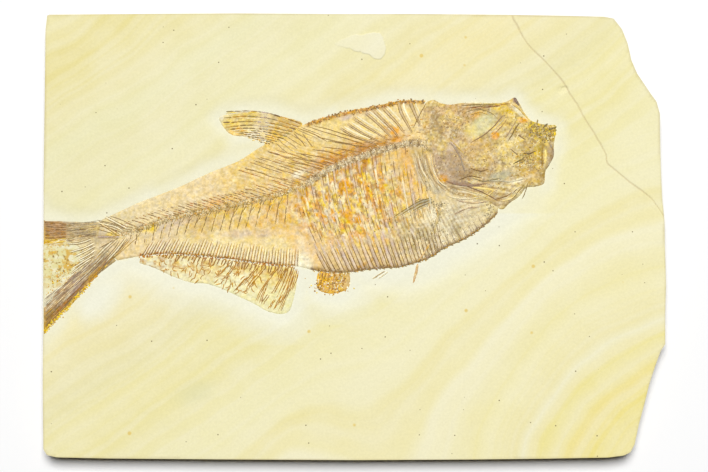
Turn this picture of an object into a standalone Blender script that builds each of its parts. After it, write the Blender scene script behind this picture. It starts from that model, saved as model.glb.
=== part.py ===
"""Fossil herring-like fish lying on its side in a slab of pale laminated limestone.

The slab lies flat with its fossil face up. Lengths are in metres; outline points are
written in millimetres about the middle of the slab and turned to metres by mm().
"""

import math
import random

import bmesh
import bpy
from mathutils import Vector

MM = 0.001

# Driving sizes of the slab and of the levels in its fossil face.
SLAB_THICKNESS = 12.0 * MM
LAMINA_LEVELS = (0.36, 0.68)
TROUGH_DEPTH = 1.2 * MM
TROUGH_SLOPE = 1.6 * MM
SETTING_GAP = 0.3 * MM
FILM_TOP = SLAB_THICKNESS - 0.2 * MM
FILM_BOTTOM = SLAB_THICKNESS - TROUGH_DEPTH + SETTING_GAP
KEEL_DEPTH = 0.3 * MM
SEAT_DEPTH = 0.12 * MM
NEIGHBOUR_GAP = 0.4 * MM
CLEARANCE_HEIGHT = 5.0 * MM
MITRE_LIMIT = 0.4
FARTHEST_REACH = 60.0 * MM
SHORTEST_REACH = 12.0 * MM
FLAT_ANGLE = math.radians(0.1)
WELD_DISTANCE = 0.001 * MM
PARALLEL = 1e-12
LEVEL_TOLERANCE = 0.1 * MM

# How far the beds below the rim step back at the broken edge, least and most, in mm.
BED_STEPS = (0.2, 1.3)
BED_SEED = 7

# Driving counts and sizes of the skeleton.
VERTEBRA_COUNT = 38
RIB_COUNT = 17
HAEMAL_COUNT = 18
ANAL_SUPPORT_COUNT = 36
DORSAL_SUPPORT_COUNT = 8
HYPURAL_COUNT = 5
RIBBED_SHARE = RIB_COUNT / VERTEBRA_COUNT
CHEST_SCUTE_COUNT = 16
BACKBONE_HALF_WIDTH = 2.3 * MM
BACKBONE_HEIGHT = 1.3 * MM
BACKBONE_WAIST = 0.78
RIB_HALF_WIDTH = 0.75 * MM
RIB_HEIGHT = 0.65 * MM
SPINE_HALF_WIDTH = 0.5 * MM
SPINE_HEIGHT = 0.5 * MM
RAY_HALF_WIDTH = 0.55 * MM
RAY_HEIGHT = 0.45 * MM
RAY_TAPER = (1.1, 0.6)

# Ribs: shares of the belly's line where the first and the last one end, the gap left
# there, and a knee that is given as shares of the way across and of the way down.
RIB_ENDS = (0.835, 0.525)
RIB_END_GAP = 1.2 * MM
RIB_KNEE = (0.15, 0.45)
RIB_SHARES = (0.0, 0.3, 0.6, 0.85, 1.0)
RIB_TAPER = (1.0, 0.6)

# Upper spines: they lean back by a slope in degrees, and stand up over the nape, which
# is this first share of the backbone. Behind SHORTENING_FROM they shorten to the tail.
NAPE_SHARE = 0.22
SPINE_SLOPE = 18.0
NAPE_SLOPE = 50.0
NAPE_CURVE = 1.2
NAPE_BEND = 0.08
LONGEST_SPINE = 29.0 * MM
SHORTENING = 22.0 * MM
SHORTENING_FROM = 0.45
SPINE_END_GAP = 2.2 * MM
SPINE_TAPER = (0.9, 1.0)

# Lower spines: the last one's share of the backbone, their slope and their lengths from
# the first to the last.
HAEMAL_END = 0.94
HAEMAL_SLOPE = 62.0
HAEMAL_LENGTHS = (15.5 * MM, 7.5 * MM)
HAEMAL_TAPER = (1.0, 0.6)

# Rods over the anal fin, from the front one to the rear one: shares of the belly's line
# where they stand, their lengths and how far they lean forwards for each unit of rise.
ANAL_BASE = (0.48, 0.06)
ANAL_SUPPORT_LENGTHS = (12.5 * MM, 10.0 * MM)
ANAL_SUPPORT_LEANS = (0.02, 0.57)
ANAL_SUPPORT_LIFT = 0.7 * MM
ANAL_SUPPORT_TAPER = (0.5, 1.0)
SUPPORT_HALF_WIDTH = SPINE_HALF_WIDTH * 0.9

# Rods under the dorsal fin, from the front one to the rear one.
DORSAL_SUPPORT_FEET = ((-25.2, 51.6), (-35.4, 45.4))
DORSAL_SUPPORT_SLOPES = (-18.0, -42.0)
DORSAL_SUPPORT_LENGTHS = (9.5 * MM, 6.5 * MM)
DORSAL_SUPPORT_TAPER = (1.0, 0.7)

# Plates that carry the tail fin, from the upper one down.
HYPURAL_ROOT = (-110.0, 0.6)
HYPURAL_SPACING = 0.5
HYPURAL_SLOPE = -24.0
HYPURAL_TURN = 17.0
HYPURAL_LENGTH = 7.5 * MM
HYPURAL_HALF_WIDTH = 0.7 * MM
HYPURAL_TAPER = (0.8, 1.3)

# Scutes: beads along the nape and the keel, and blades that rise from the chest's keel.
SCUTE_HALF_WIDTH = 1.0 * MM
SCUTE_HEIGHT = 0.8 * MM
SCUTE_INSET = 1.2 * MM
NAPE_SCUTE_COUNT = 15
NAPE_SCUTE_WAIST = 0.55
NAPE_SCUTES_FROM = -22.0 * MM
KEEL_SCUTE_COUNT = 24
KEEL_SCUTE_WAIST = 0.5
KEEL_SCUTES_FROM = -17.0 * MM
CHEST_SCUTES = (0.47, 0.92)
CHEST_SCUTE_RISE = (-2.2, 8.0)
CHEST_SCUTE_SHORTENING = 0.15
CHEST_SCUTE_TAPER = (1.0, 0.5)

# Trimmed top, left and bottom edges, then the broken right edge, in millimetres.
TRIMMED_EDGE = [
    (119.0, -103.8), (90.0, -104.3), (55.5, -104.7), (1.0, -105.0), (-55.5, -104.7),
    (-117.0, -104.2), (-140.0, -103.7), (-144.6, -102.6), (-146.2, -100.0),
    (-146.5, -70.0), (-146.4, -29.5), (-146.2, 8.0), (-145.9, 41.0), (-145.5, 69.0),
    (-145.2, 97.0), (-144.4, 104.4), (-105.5, 104.7), (-55.5, 105.0), (-11.5, 104.7),
    (31.0, 104.7), (74.0, 104.3), (96.5, 103.9), (117.5, 103.4),
]
BROKEN_EDGE = [
    (121.8, 102.6), (125.8, 97.5), (128.4, 91.0), (130.2, 83.0), (132.9, 76.7),
    (136.4, 71.5), (139.4, 67.0), (142.0, 63.5), (143.6, 57.7), (143.7, 47.5),
    (144.0, 33.5), (144.6, 19.2), (145.8, 7.0), (146.0, -6.0), (146.5, -22.0),
    (146.1, -35.5), (146.1, -50.5), (144.0, -53.7), (141.5, -60.5), (138.7, -69.0),
    (136.6, -77.5), (133.8, -88.0), (131.7, -97.8), (129.7, -101.4), (126.5, -102.9),
]
CRACK = [
    (72.5, 108.0), (75.0, 102.0), (81.5, 90.5), (89.5, 82.5), (98.0, 73.0),
    (101.0, 67.5), (104.5, 62.5), (108.0, 56.0), (114.0, 46.5), (118.0, 39.0),
    (119.0, 34.5), (123.0, 31.0), (129.0, 26.0), (139.0, 18.5), (142.5, 14.0),
    (148.5, 5.0),
]
CRACK_HALF_WIDTH = 0.9 * MM
CRACK_DEPTH = 0.7 * MM
FLAKE = [
    (-10.0, 90.5), (-1.0, 88.0), (4.5, 86.0), (9.0, 84.0), (13.5, 84.0),
    (14.6, 88.0), (14.0, 92.5), (11.5, 96.0), (3.5, 95.5), (-4.0, 93.5),
]
FLAKE_HEIGHT = 0.5 * MM

# Limit of the trough that was scraped out round the fish; it runs off the left edge.
TROUGH = [
    (-152.0, 14.0), (-138.0, 13.0), (-122.0, 12.5), (-106.0, 20.0), (-86.0, 28.5),
    (-69.0, 36.0), (-61.0, 43.0), (-67.0, 52.0), (-67.0, 59.0), (-55.0, 64.0),
    (-38.0, 64.0), (-24.0, 60.0), (-8.0, 64.5), (12.0, 69.0), (36.0, 69.5),
    (60.0, 68.0), (78.0, 69.5), (90.0, 59.5), (100.0, 55.5), (101.0, 42.0),
    (96.5, 26.0), (88.0, 13.0), (74.0, 3.0), (56.0, -9.0), (40.0, -20.5),
    (24.0, -26.0), (8.0, -24.5), (-3.0, -32.0), (-14.0, -32.5), (-23.0, -29.0),
    (-30.5, -40.5), (-39.0, -40.0), (-56.0, -32.5), (-72.0, -27.0), (-88.0, -23.5),
    (-103.0, -17.5), (-110.0, -19.5), (-122.0, -31.0), (-134.0, -44.0),
    (-142.0, -53.0), (-152.0, -60.0),
]

# The fish: its backbone from the skull to the tail, its back and its belly.
BACKBONE = [
    (34.5, 44.0), (24.0, 43.8), (14.5, 41.2), (5.0, 38.4), (-10.5, 32.1), (-23.5, 24.8),
    (-38.0, 19.2), (-54.0, 15.6), (-65.5, 13.0), (-77.5, 10.7), (-89.0, 7.9),
    (-100.0, 4.1), (-109.5, 0.8),
]
BACK = [
    (33.0, 64.5), (21.5, 64.3), (12.0, 62.3), (1.0, 60.1), (-7.0, 58.4), (-22.5, 53.7),
    (-32.0, 48.0), (-43.5, 43.0), (-54.5, 36.0), (-69.0, 30.0), (-83.0, 23.5),
    (-101.0, 16.5), (-112.0, 11.5), (-119.0, 8.3),
]
TAIL_ROOT = [(-119.0, 8.3), (-121.0, 1.0), (-119.0, -5.0), (-111.5, -11.5)]
BELLY = [
    (-111.5, -11.5), (-101.0, -9.5), (-90.5, -8.3), (-74.5, -8.8), (-59.5, -9.6),
    (-50.5, -11.0), (-38.5, -12.8), (-26.5, -13.9), (-18.0, -16.3), (-6.5, -17.3),
    (9.0, -15.6), (22.5, -14.4), (35.5, -10.3), (42.0, -6.0), (53.0, -1.0),
    (61.5, 5.0), (67.5, 10.5),
]
SKULL = [
    (32.5, 62.5), (37.0, 64.7), (40.5, 63.2), (45.0, 61.5), (50.5, 63.0), (56.5, 63.1),
    (63.5, 62.0), (71.0, 63.4), (75.3, 65.8), (78.0, 62.5), (80.5, 58.0), (84.0, 54.4),
    (91.0, 52.7), (95.0, 52.3), (94.2, 44.0), (93.7, 39.5), (92.0, 33.7), (90.0, 30.5),
    (89.5, 25.0), (85.5, 23.3), (81.0, 22.8), (78.0, 19.0), (73.0, 15.5), (69.5, 12.5),
    (63.5, 15.3), (54.5, 17.3), (47.5, 18.5), (43.5, 21.0), (39.5, 25.5), (37.0, 31.5),
    (35.5, 39.5), (32.0, 45.5), (29.5, 50.0), (30.0, 56.0),
]
DORSAL_FIN = [
    (-25.3, 53.9), (-35.0, 57.1), (-41.5, 58.5), (-52.0, 58.5), (-60.5, 57.6),
    (-64.0, 56.0), (-61.5, 51.0), (-57.5, 47.5), (-49.0, 46.9), (-42.5, 46.3),
    (-38.6, 46.0), (-31.9, 48.9),
]
ANAL_FIN_MARGIN = [
    (-27.6, -18.5), (-30.5, -28.0), (-35.5, -36.5), (-40.5, -33.7), (-45.5, -31.5),
    (-57.5, -26.7), (-68.5, -23.4), (-79.0, -21.5), (-86.0, -19.0), (-96.0, -15.5),
    (-101.5, -12.6),
]
TAIL_FIN = [
    (-119.9, 7.6), (-124.5, 7.0), (-138.5, 7.6), (-146.0, 7.7), (-146.0, -3.5),
    (-136.5, -1.0), (-128.0, -6.0), (-127.0, -12.5), (-132.5, -17.5), (-140.0, -26.0),
    (-146.0, -33.5), (-146.0, -46.0), (-138.5, -37.5), (-131.5, -30.0), (-121.0, -18.6),
    (-112.6, -11.6), (-119.7, -4.9), (-121.7, 1.0),
]
PELVIC_FIN = [
    (-17.0, -18.4), (-9.5, -18.8), (-2.5, -18.2), (-1.8, -22.0), (-3.2, -24.8),
    (-7.0, -26.6), (-12.0, -27.0), (-16.6, -25.6), (-17.9, -22.2),
]
PECTORAL_FIN = [
    (37.0, 18.6), (32.0, 18.2), (27.5, 16.6), (23.0, 12.8), (17.8, 8.2), (21.5, 9.9),
    (26.5, 13.2), (31.5, 15.0), (36.5, 16.4),
]
BREAST_SPINE = [(38.5, 15.0), (37.5, 4.0), (33.5, -6.0), (29.5, -12.5), (27.2, -22.0)]
BREAST_SPINE_SIZE = 0.9 * MM
BREAST_SPINE_TAPER = (1.2, 0.6)

# Bosses of the skull: centre, half length, half width and rise in mm, turn in degrees.
BOSS_SEGMENTS = 12
BOSS_RINGS = 8
SKULL_BOSSES = (
    ((46.5, 33.0), (8.6, 12.0, 1.7), 12.0),
    ((62.0, 34.5), (9.5, 8.5, 1.4), -20.0),
    ((42.5, 52.0), (8.0, 7.5, 1.3), 0.0),
    ((84.0, 46.0), (5.5, 6.5, 1.6), 20.0),
    ((85.0, 29.5), (4.8, 5.5, 1.2), -30.0),
)
EYE_PIT = ((59.5, 53.5), (6.6, 4.3, 3.0), 40.0)
EYE_PIT_DEPTH = 0.4 * MM

# Bars of the skull: path, half width and height in mm.
SKULL_BAR_TAPER = (1.0, 0.7)
SKULL_BARS = (
    ([(38.0, 60.5), (52.0, 60.6), (66.0, 60.4), (74.0, 62.6)], 1.3, 1.1),
    ([(76.0, 62.0), (79.0, 56.0), (85.5, 50.5)], 1.5, 1.2),
    ([(73.0, 58.0), (64.0, 50.5), (55.0, 43.0)], 1.1, 1.2),
    ([(80.0, 53.0), (75.0, 46.5), (71.5, 40.0)], 1.0, 1.1),
    ([(57.5, 44.0), (54.5, 33.5), (56.5, 24.5), (67.0, 19.5)], 1.4, 1.2),
    ([(92.3, 47.5), (92.6, 40.0), (91.0, 34.0), (88.0, 30.5)], 1.4, 1.8),
    ([(87.0, 44.0), (80.0, 36.0), (73.0, 30.0)], 1.2, 1.1),
    ([(50.0, 21.5), (60.0, 21.0), (72.0, 23.0), (80.0, 26.5)], 1.3, 1.2),
    ([(79.5, 21.5), (75.0, 18.3), (70.5, 14.5)], 0.8, 0.8),
)

# Fans of fin rays: how many, the first one's root and tip, the last one's, and, where
# they bend, the share of their length at the bend and the first and last one's bulge.
DORSAL_RAYS = (
    10, ((-27.5, 53.6), (-60.5, 56.6)), ((-38.0, 47.6), (-51.5, 48.2)),
    (0.4, (0.0, 2.4), (0.0, 0.5)),
)
UPPER_TAIL_RAYS = (
    7, ((-123.0, 5.6), (-145.4, 6.4)), ((-123.0, -0.4), (-145.4, -1.8)),
    (0.5, (0.0, -0.4), (0.0, -0.4)),
)
LOWER_TAIL_RAYS = (
    8, ((-115.6, -12.0), (-145.4, -43.6)), ((-122.1, -9.0), (-145.4, -34.4)),
    (0.5, (0.5, 0.5), (0.5, 0.5)),
)
PELVIC_RAYS = (5, ((-15.5, -20.0), (-16.0, -24.6)), ((-5.1, -20.0), (-4.4, -24.6)), None)
PECTORAL_RAYS = (
    [(35.8, 17.9), (28.5, 16.0), (21.5, 11.0)],
    [(35.8, 17.2), (28.5, 14.9), (21.5, 10.6)],
)

# Anal rays: shares of the fin's base and of its margin that they run between, and the
# shares of that way that they reach, in turn.
ANAL_RAY_COUNT = 26
ANAL_FIN_SPAN = (-101.5 * MM, -27.0 * MM)
ANAL_RAY_OFFSET = 0.4
ANAL_RAY_BASE = 0.97
ANAL_RAY_MARGIN = (0.12, 0.86, 0.98)
ANAL_RAY_REACHES = (0.86, 0.66, 0.46)
ANAL_RAY_GAP = 1.0 * MM

# Finishes: base colour and roughness.
LIMESTONE = ((0.82, 0.76, 0.52), 0.9)
BONE = ((0.55, 0.33, 0.13), 0.6)
FILM = ((0.72, 0.50, 0.25), 0.7)

# Booleans still to be added: target, operation, collection or None, object or None.
JOINTS = []


def mm(points):
    """Turns millimetre pairs into vectors in metres."""
    return [Vector((x * MM, y * MM)) for x, y in points]


def smooth_path(points, steps, closed=False):
    """Reads a Catmull-Rom curve through the points, with this many steps between two."""
    count = len(points)
    spans = count if closed else count - 1
    path = []
    for i in range(spans):
        if closed:
            p0, p1, p2, p3 = (points[(i + k) % count] for k in (-1, 0, 1, 2))
        else:
            p0, p3 = points[max(i - 1, 0)], points[min(i + 2, count - 1)]
            p1, p2 = points[i], points[i + 1]
        for s in range(steps):
            t = s / steps
            path.append(
                0.5 * ((2 * p1) + (p2 - p0) * t + (2 * p0 - 5 * p1 + 4 * p2 - p3) * t * t
                       + (3 * p1 - p0 - 3 * p2 + p3) * t ** 3)
            )
    if not closed:
        path.append(points[-1])
    return path


def between(pair, share):
    """Returns the number this share of the way between two numbers."""
    return pair[0] + (pair[1] - pair[0]) * share


def along(path, share):
    """Returns the point and the direction at this share of a path's length."""
    lengths = [(b - a).length for a, b in zip(path, path[1:])]
    left = share * sum(lengths)
    for a, b, length in zip(path, path[1:], lengths):
        if left <= length or b is path[-1]:
            return a.lerp(b, min(left / length, 1.0)), (b - a).normalized()
        left -= length
    raise ValueError("share lies past the path's end")


def offset_path(path, distance):
    """Moves each point of an open path to its left by the distance."""
    moved = []
    for i, point in enumerate(path):
        ahead = (path[min(i + 1, len(path) - 1)] - path[max(i - 1, 0)]).normalized()
        moved.append(point + Vector((-ahead.y, ahead.x)) * distance)
    return moved


def grown(outline, distance):
    """Moves the sides of a closed outline outwards by the distance, mitred at corners."""
    area = sum(a.cross(b) for a, b in zip(outline, outline[1:] + outline[:1]))
    side = -1 if area > 0 else 1
    moved = []
    for i, point in enumerate(outline):
        before = (point - outline[i - 1]).normalized()
        after = (outline[(i + 1) % len(outline)] - point).normalized()
        normals = [Vector((-way.y, way.x)) * side for way in (before, after)]
        middle = (normals[0] + normals[1]).normalized()
        mitre = max(middle.dot(normals[0]), MITRE_LIMIT)
        moved.append(point + middle * distance / mitre)
    return moved


def material(name, colour, roughness):
    """Makes a plain stone material of this colour."""
    made = bpy.data.materials.new(name)
    made.use_nodes = True
    shader = made.node_tree.nodes["Principled BSDF"]
    shader.inputs["Base Color"].default_value = (*colour, 1.0)
    shader.inputs["Roughness"].default_value = roughness
    shader.inputs["Metallic"].default_value = 0.0
    return made


def linked(name, mesh, collection):
    """Puts a mesh in the collection as a new object."""
    made = bpy.data.objects.new(name, mesh)
    collection.objects.link(made)
    return made


def as_mesh(curve_object, collection):
    """Replaces a curve object by its mesh, with the caps welded on."""
    graph = bpy.context.evaluated_depsgraph_get()
    mesh = bpy.data.meshes.new_from_object(curve_object.evaluated_get(graph))
    made = linked(curve_object.name + "_mesh", mesh, collection)
    made.matrix_world = curve_object.matrix_world
    cage = bmesh.new()
    cage.from_mesh(mesh)
    bmesh.ops.remove_doubles(cage, verts=cage.verts, dist=WELD_DISTANCE)
    bmesh.ops.recalc_face_normals(cage, faces=cage.faces)
    cage.to_mesh(mesh)
    cage.free()
    bpy.data.objects.remove(curve_object)
    return made


def plate(name, outline, bottom, top, collection):
    """Makes a flat solid of this outline between two heights."""
    curve = bpy.data.curves.new(name + "_outline", "CURVE")
    curve.dimensions = "2D"
    curve.fill_mode = "BOTH"
    curve.extrude = (top - bottom) / 2
    spline = curve.splines.new("POLY")
    spline.points.add(len(outline) - 1)
    for point, place in zip(spline.points, outline):
        point.co = (place.x, place.y, 0.0, 1.0)
    spline.use_cyclic_u = True
    made = bpy.data.objects.new(name + "_outline", curve)
    collection.objects.link(made)
    made.location.z = (top + bottom) / 2
    bpy.context.view_layer.update()
    solid = as_mesh(made, collection)
    solid.data.transform(solid.matrix_world)
    solid.matrix_world.identity()
    solid.name = name
    cage = bmesh.new()
    cage.from_mesh(solid.data)
    bmesh.ops.dissolve_limit(
        cage, angle_limit=FLAT_ANGLE, verts=cage.verts, edges=cage.edges
    )
    cage.to_mesh(solid.data)
    cage.free()
    return solid


def ridge(path, half_width, height, collection, tips=(1.0, 1.0), radii=None):
    """Makes a bone: a bar along the path whose lower side is a flat keel in the film."""
    curve = bpy.data.curves.new("bone", "CURVE")
    curve.dimensions = "3D"
    curve.twist_mode = "Z_UP"
    curve.bevel_depth = half_width
    curve.bevel_resolution = 0
    curve.use_fill_caps = True
    spline = curve.splines.new("POLY")
    spline.points.add(len(path) - 1)
    last = len(path) - 1
    for i, (point, place) in enumerate(zip(spline.points, path)):
        point.co = (place.x, place.y, 0.0, 1.0)
        point.radius = radii[i] if radii else between(tips, i / last)
    made = bpy.data.objects.new("bone", curve)
    collection.objects.link(made)
    bpy.context.view_layer.update()
    solid = as_mesh(made, collection)
    for vertex in solid.data.vertices:
        share = vertex.co.z / half_width
        rise = share * (height + SEAT_DEPTH if share > 0 else KEEL_DEPTH - SEAT_DEPTH)
        vertex.co.z = FILM_TOP - SEAT_DEPTH + rise
    return solid


def beads(path, count, half_width, height, waist, collection):
    """Makes a chain of bones end to end as one bar that narrows at each one's middle."""
    places = [along(path, i / (2 * count))[0] for i in range(2 * count + 1)]
    radii = [1.0 if i % 2 == 0 else waist for i in range(2 * count + 1)]
    return ridge(places, half_width, height, collection, radii=radii)


def dome(centre, radii, degrees, collection):
    """Makes a low oval boss, such as a gill cover, standing on the film."""
    cage = bmesh.new()
    bmesh.ops.create_uvsphere(
        cage, u_segments=BOSS_SEGMENTS, v_segments=BOSS_RINGS, radius=1.0
    )
    mesh = bpy.data.meshes.new("boss")
    cage.to_mesh(mesh)
    cage.free()
    made = linked("boss", mesh, collection)
    turn = math.radians(degrees)
    cosine, sine = math.cos(turn), math.sin(turn)
    for vertex in mesh.vertices:
        x, y = vertex.co.x * radii[0] * MM, vertex.co.y * radii[1] * MM
        rise = vertex.co.z * radii[2] * MM
        vertex.co = (
            centre[0] * MM + x * cosine - y * sine,
            centre[1] * MM + x * sine + y * cosine,
            FILM_TOP + max(rise, -KEEL_DEPTH),
        )
    return made


def combine(target, operation, collection=None, other=None):
    """Notes an exact Boolean of the target with one object or a whole collection."""
    JOINTS.append((target, operation, collection, other))


def make_joints():
    """Adds the noted Booleans once every solid stands, in the order they were noted."""
    for target, operation, collection, other in JOINTS:
        add_boolean(target, operation, collection, other)


def add_boolean(target, operation, collection, other):
    """Adds an exact Boolean to the target, with one object or a whole collection."""
    modifier = target.modifiers.new(operation.lower(), "BOOLEAN")
    modifier.operation = operation
    modifier.solver = "EXACT"
    if collection:
        modifier.operand_type = "COLLECTION"
        modifier.collection = collection
    else:
        modifier.object = other


def helper_collection(name):
    """Makes a collection of helpers that aren't part of the object."""
    made = bpy.data.collections.new(name)
    bpy.context.scene.collection.children.link(made)
    return made


def hide_helpers(collection):
    """Marks every object in the collection as a helper."""
    for helper in collection.objects:
        helper.hide_render = True
        helper.display_type = "WIRE"


def slab_blank(collection):
    """Raises the slab's outline in laminae; the broken edge steps in below its rim."""
    rng = random.Random(BED_SEED)
    outline = mm(BROKEN_EDGE) + mm(TRIMMED_EDGE)
    inward = grown(outline, -MM)
    slab = plate("limestone_slab", outline, 0.0, SLAB_THICKNESS, collection)
    cage = bmesh.new()
    cage.from_mesh(slab.data)
    for level in LAMINA_LEVELS:
        everything = cage.verts[:] + cage.edges[:] + cage.faces[:]
        height = (0.0, 0.0, level * SLAB_THICKNESS)
        bmesh.ops.bisect_plane(cage, geom=everything, plane_co=height, plane_no=(0, 0, 1))
    for level in (0.0, *LAMINA_LEVELS):
        height = level * SLAB_THICKNESS
        ring = [v for v in cage.verts if abs(v.co.z - height) < LEVEL_TOLERANCE]
        for i in range(len(BROKEN_EDGE)):
            corner = min(ring, key=lambda v: (v.co.xy - outline[i]).length)
            step = (inward[i] - outline[i]).normalized() * rng.uniform(*BED_STEPS) * MM
            corner.co.x += step.x
            corner.co.y += step.y
    cage.to_mesh(slab.data)
    cage.free()
    return slab


def trough_cutter(collection):
    """Makes the hollow's shape: a flat floor with sloping sides, open to the sky."""
    outline = smooth_path(mm(TROUGH), 3, closed=True)
    floor = SLAB_THICKNESS - TROUGH_DEPTH
    made = plate("trough", outline, floor, SLAB_THICKNESS + TROUGH_DEPTH, collection)
    wider = grown(outline, TROUGH_SLOPE)
    for vertex in made.data.vertices:
        if vertex.co.z > SLAB_THICKNESS:
            flat = Vector(vertex.co[:2])
            i = min(range(len(outline)), key=lambda k: (outline[k] - flat).length)
            vertex.co.x, vertex.co.y = wider[i]
    return made


def crack_cutter(collection):
    """Makes the groove that the crack leaves in the face and down both edges."""
    groove = ridge(mm(CRACK), CRACK_HALF_WIDTH, CRACK_HALF_WIDTH, collection)
    low = FILM_TOP - SEAT_DEPTH
    for vertex in groove.data.vertices:
        is_keel = vertex.co.z < low - SEAT_DEPTH / 2
        vertex.co.z = SLAB_THICKNESS + (-CRACK_DEPTH if is_keel else CRACK_DEPTH)
    return groove


def build_slab(part, helpers, stone):
    """Builds the slab with its trough, its crack and the flake left on its face."""
    slab = slab_blank(part)
    trough = trough_cutter(helpers)
    outline = smooth_path(mm(FLAKE), 2, closed=True)
    flake = plate(
        "flake", outline, SLAB_THICKNESS - FLAKE_HEIGHT, SLAB_THICKNESS + FLAKE_HEIGHT,
        helpers,
    )
    combine(slab, "UNION", other=flake)
    combine(slab, "DIFFERENCE", other=trough)
    combine(slab, "DIFFERENCE", other=crack_cutter(helpers))
    slab.data.materials.append(stone)


def rib_path(root, tip):
    """Bends a rib: straight down from the backbone, then forwards to the belly."""
    across, down = RIB_KNEE
    knee = Vector((between((root.x, tip.x), across), between((root.y, tip.y), down)))
    return [
        root * (1 - t) ** 2 + knee * 2 * t * (1 - t) + tip * t * t for t in RIB_SHARES
    ]


def turned(direction, degrees):
    """Returns a flat direction turned anticlockwise by this many degrees."""
    angle = math.radians(degrees)
    cosine, sine = math.cos(angle), math.sin(angle)
    x, y = direction
    return Vector((x * cosine - y * sine, x * sine + y * cosine))


def reach(root, lean, edge):
    """Returns how far a line from the root along lean runs before it meets the edge."""
    line = lean * FARTHEST_REACH
    for a, b in zip(edge, edge[1:]):
        wall = b - a
        cross = line.cross(wall)
        if abs(cross) < PARALLEL:
            continue
        along_line = (a - root).cross(wall) / cross
        along_wall = (a - root).cross(line) / cross
        if 0 < along_line < 1 and 0 <= along_wall <= 1:
            return along_line * FARTHEST_REACH
    return SHORTEST_REACH


def add_ribs(backbone, belly, bones):
    """Hangs the ribs from the front half of the backbone down to the belly."""
    for i in range(RIB_COUNT):
        share = (i + 0.5) / RIB_COUNT
        root, _ = along(backbone, RIBBED_SHARE * share)
        tip, _ = along(belly, between(RIB_ENDS, share))
        path = rib_path(root, tip + Vector((0.0, RIB_END_GAP)))
        ridge(path, RIB_HALF_WIDTH, RIB_HEIGHT, bones, RIB_TAPER)


def add_neural_spines(backbone, back, bones):
    """Sweeps the upper spines back: broad and steep at the nape, flat further on."""
    for i in range(VERTEBRA_COUNT - 2):
        share = (i + 0.5) / VERTEBRA_COUNT
        root, _ = along(backbone, share)
        nape = max(0.0, 1.0 - share / NAPE_SHARE)
        lean = turned((-1.0, 0.0), -(SPINE_SLOPE + NAPE_SLOPE * nape ** NAPE_CURVE))
        longest = LONGEST_SPINE - SHORTENING * max(share - SHORTENING_FROM, 0.0)
        length = min(reach(root, lean, back) - SPINE_END_GAP, longest)
        tip = root + lean * length
        bend = root.lerp(tip, 0.5) + turned(lean, 90) * (NAPE_BEND * nape * length)
        width = SPINE_HALF_WIDTH * (1.0 + nape)
        ridge([root, bend, tip], width, SPINE_HEIGHT, bones, SPINE_TAPER)


def add_haemal_spines(backbone, bones):
    """Hangs the lower spines from the tail half of the backbone."""
    for i in range(HAEMAL_COUNT):
        share = between((RIBBED_SHARE, HAEMAL_END), (i + 0.5) / HAEMAL_COUNT)
        root, ahead = along(backbone, share)
        length = between(HAEMAL_LENGTHS, i / HAEMAL_COUNT)
        tip = root + turned(ahead, HAEMAL_SLOPE) * length
        ridge([root, tip], SPINE_HALF_WIDTH, SPINE_HEIGHT, bones, HAEMAL_TAPER)


def add_fin_supports(belly, bones):
    """Sets rods inside the body over the anal fin and under the dorsal fin."""
    for i in range(ANAL_SUPPORT_COUNT):
        share = (i + 0.5) / ANAL_SUPPORT_COUNT
        foot, _ = along(belly, between(ANAL_BASE, share))
        foot = foot + Vector((0.0, ANAL_SUPPORT_LIFT))
        lean = Vector((between(ANAL_SUPPORT_LEANS, share), 1.0)).normalized()
        top = foot + lean * between(ANAL_SUPPORT_LENGTHS, share)
        ridge([top, foot], SUPPORT_HALF_WIDTH, SPINE_HEIGHT, bones, ANAL_SUPPORT_TAPER)
    first, last = mm(DORSAL_SUPPORT_FEET)
    for i in range(DORSAL_SUPPORT_COUNT):
        share = i / (DORSAL_SUPPORT_COUNT - 1)
        foot = first.lerp(last, share)
        lean = turned((1.0, 0.0), between(DORSAL_SUPPORT_SLOPES, share))
        tip = foot + lean * between(DORSAL_SUPPORT_LENGTHS, share)
        ridge([foot, tip], SUPPORT_HALF_WIDTH, SPINE_HEIGHT, bones, DORSAL_SUPPORT_TAPER)


def add_tail_plates(bones):
    """Fans the flat bones that close the backbone and carry the tail fin."""
    for i in range(HYPURAL_COUNT):
        lean = turned((-1.0, 0.0), HYPURAL_SLOPE + HYPURAL_TURN * i)
        root = mm([(HYPURAL_ROOT[0], HYPURAL_ROOT[1] - HYPURAL_SPACING * i)])[0]
        tip = root + lean * HYPURAL_LENGTH
        ridge([root, tip], HYPURAL_HALF_WIDTH, SPINE_HEIGHT, bones, HYPURAL_TAPER)


def add_scutes(back, belly, bones):
    """Runs beads of small shields along the nape and along the belly's keel."""
    size = (SCUTE_HALF_WIDTH, SCUTE_HEIGHT)
    nape = offset_path([p for p in back if p.x > NAPE_SCUTES_FROM], SCUTE_INSET)
    beads(nape, NAPE_SCUTE_COUNT, *size, NAPE_SCUTE_WAIST, bones)
    keel = offset_path([p for p in belly if p.x > KEEL_SCUTES_FROM], SCUTE_INSET)
    beads(keel, KEEL_SCUTE_COUNT, *size, KEEL_SCUTE_WAIST, bones)
    for i in range(CHEST_SCUTE_COUNT):
        foot, _ = along(keel, between(CHEST_SCUTES, i / CHEST_SCUTE_COUNT))
        across, rise = CHEST_SCUTE_RISE
        top = foot + Vector((across, rise - CHEST_SCUTE_SHORTENING * i)) * MM
        ridge([foot, top], SPINE_HALF_WIDTH, SPINE_HEIGHT, bones, CHEST_SCUTE_TAPER)


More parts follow.
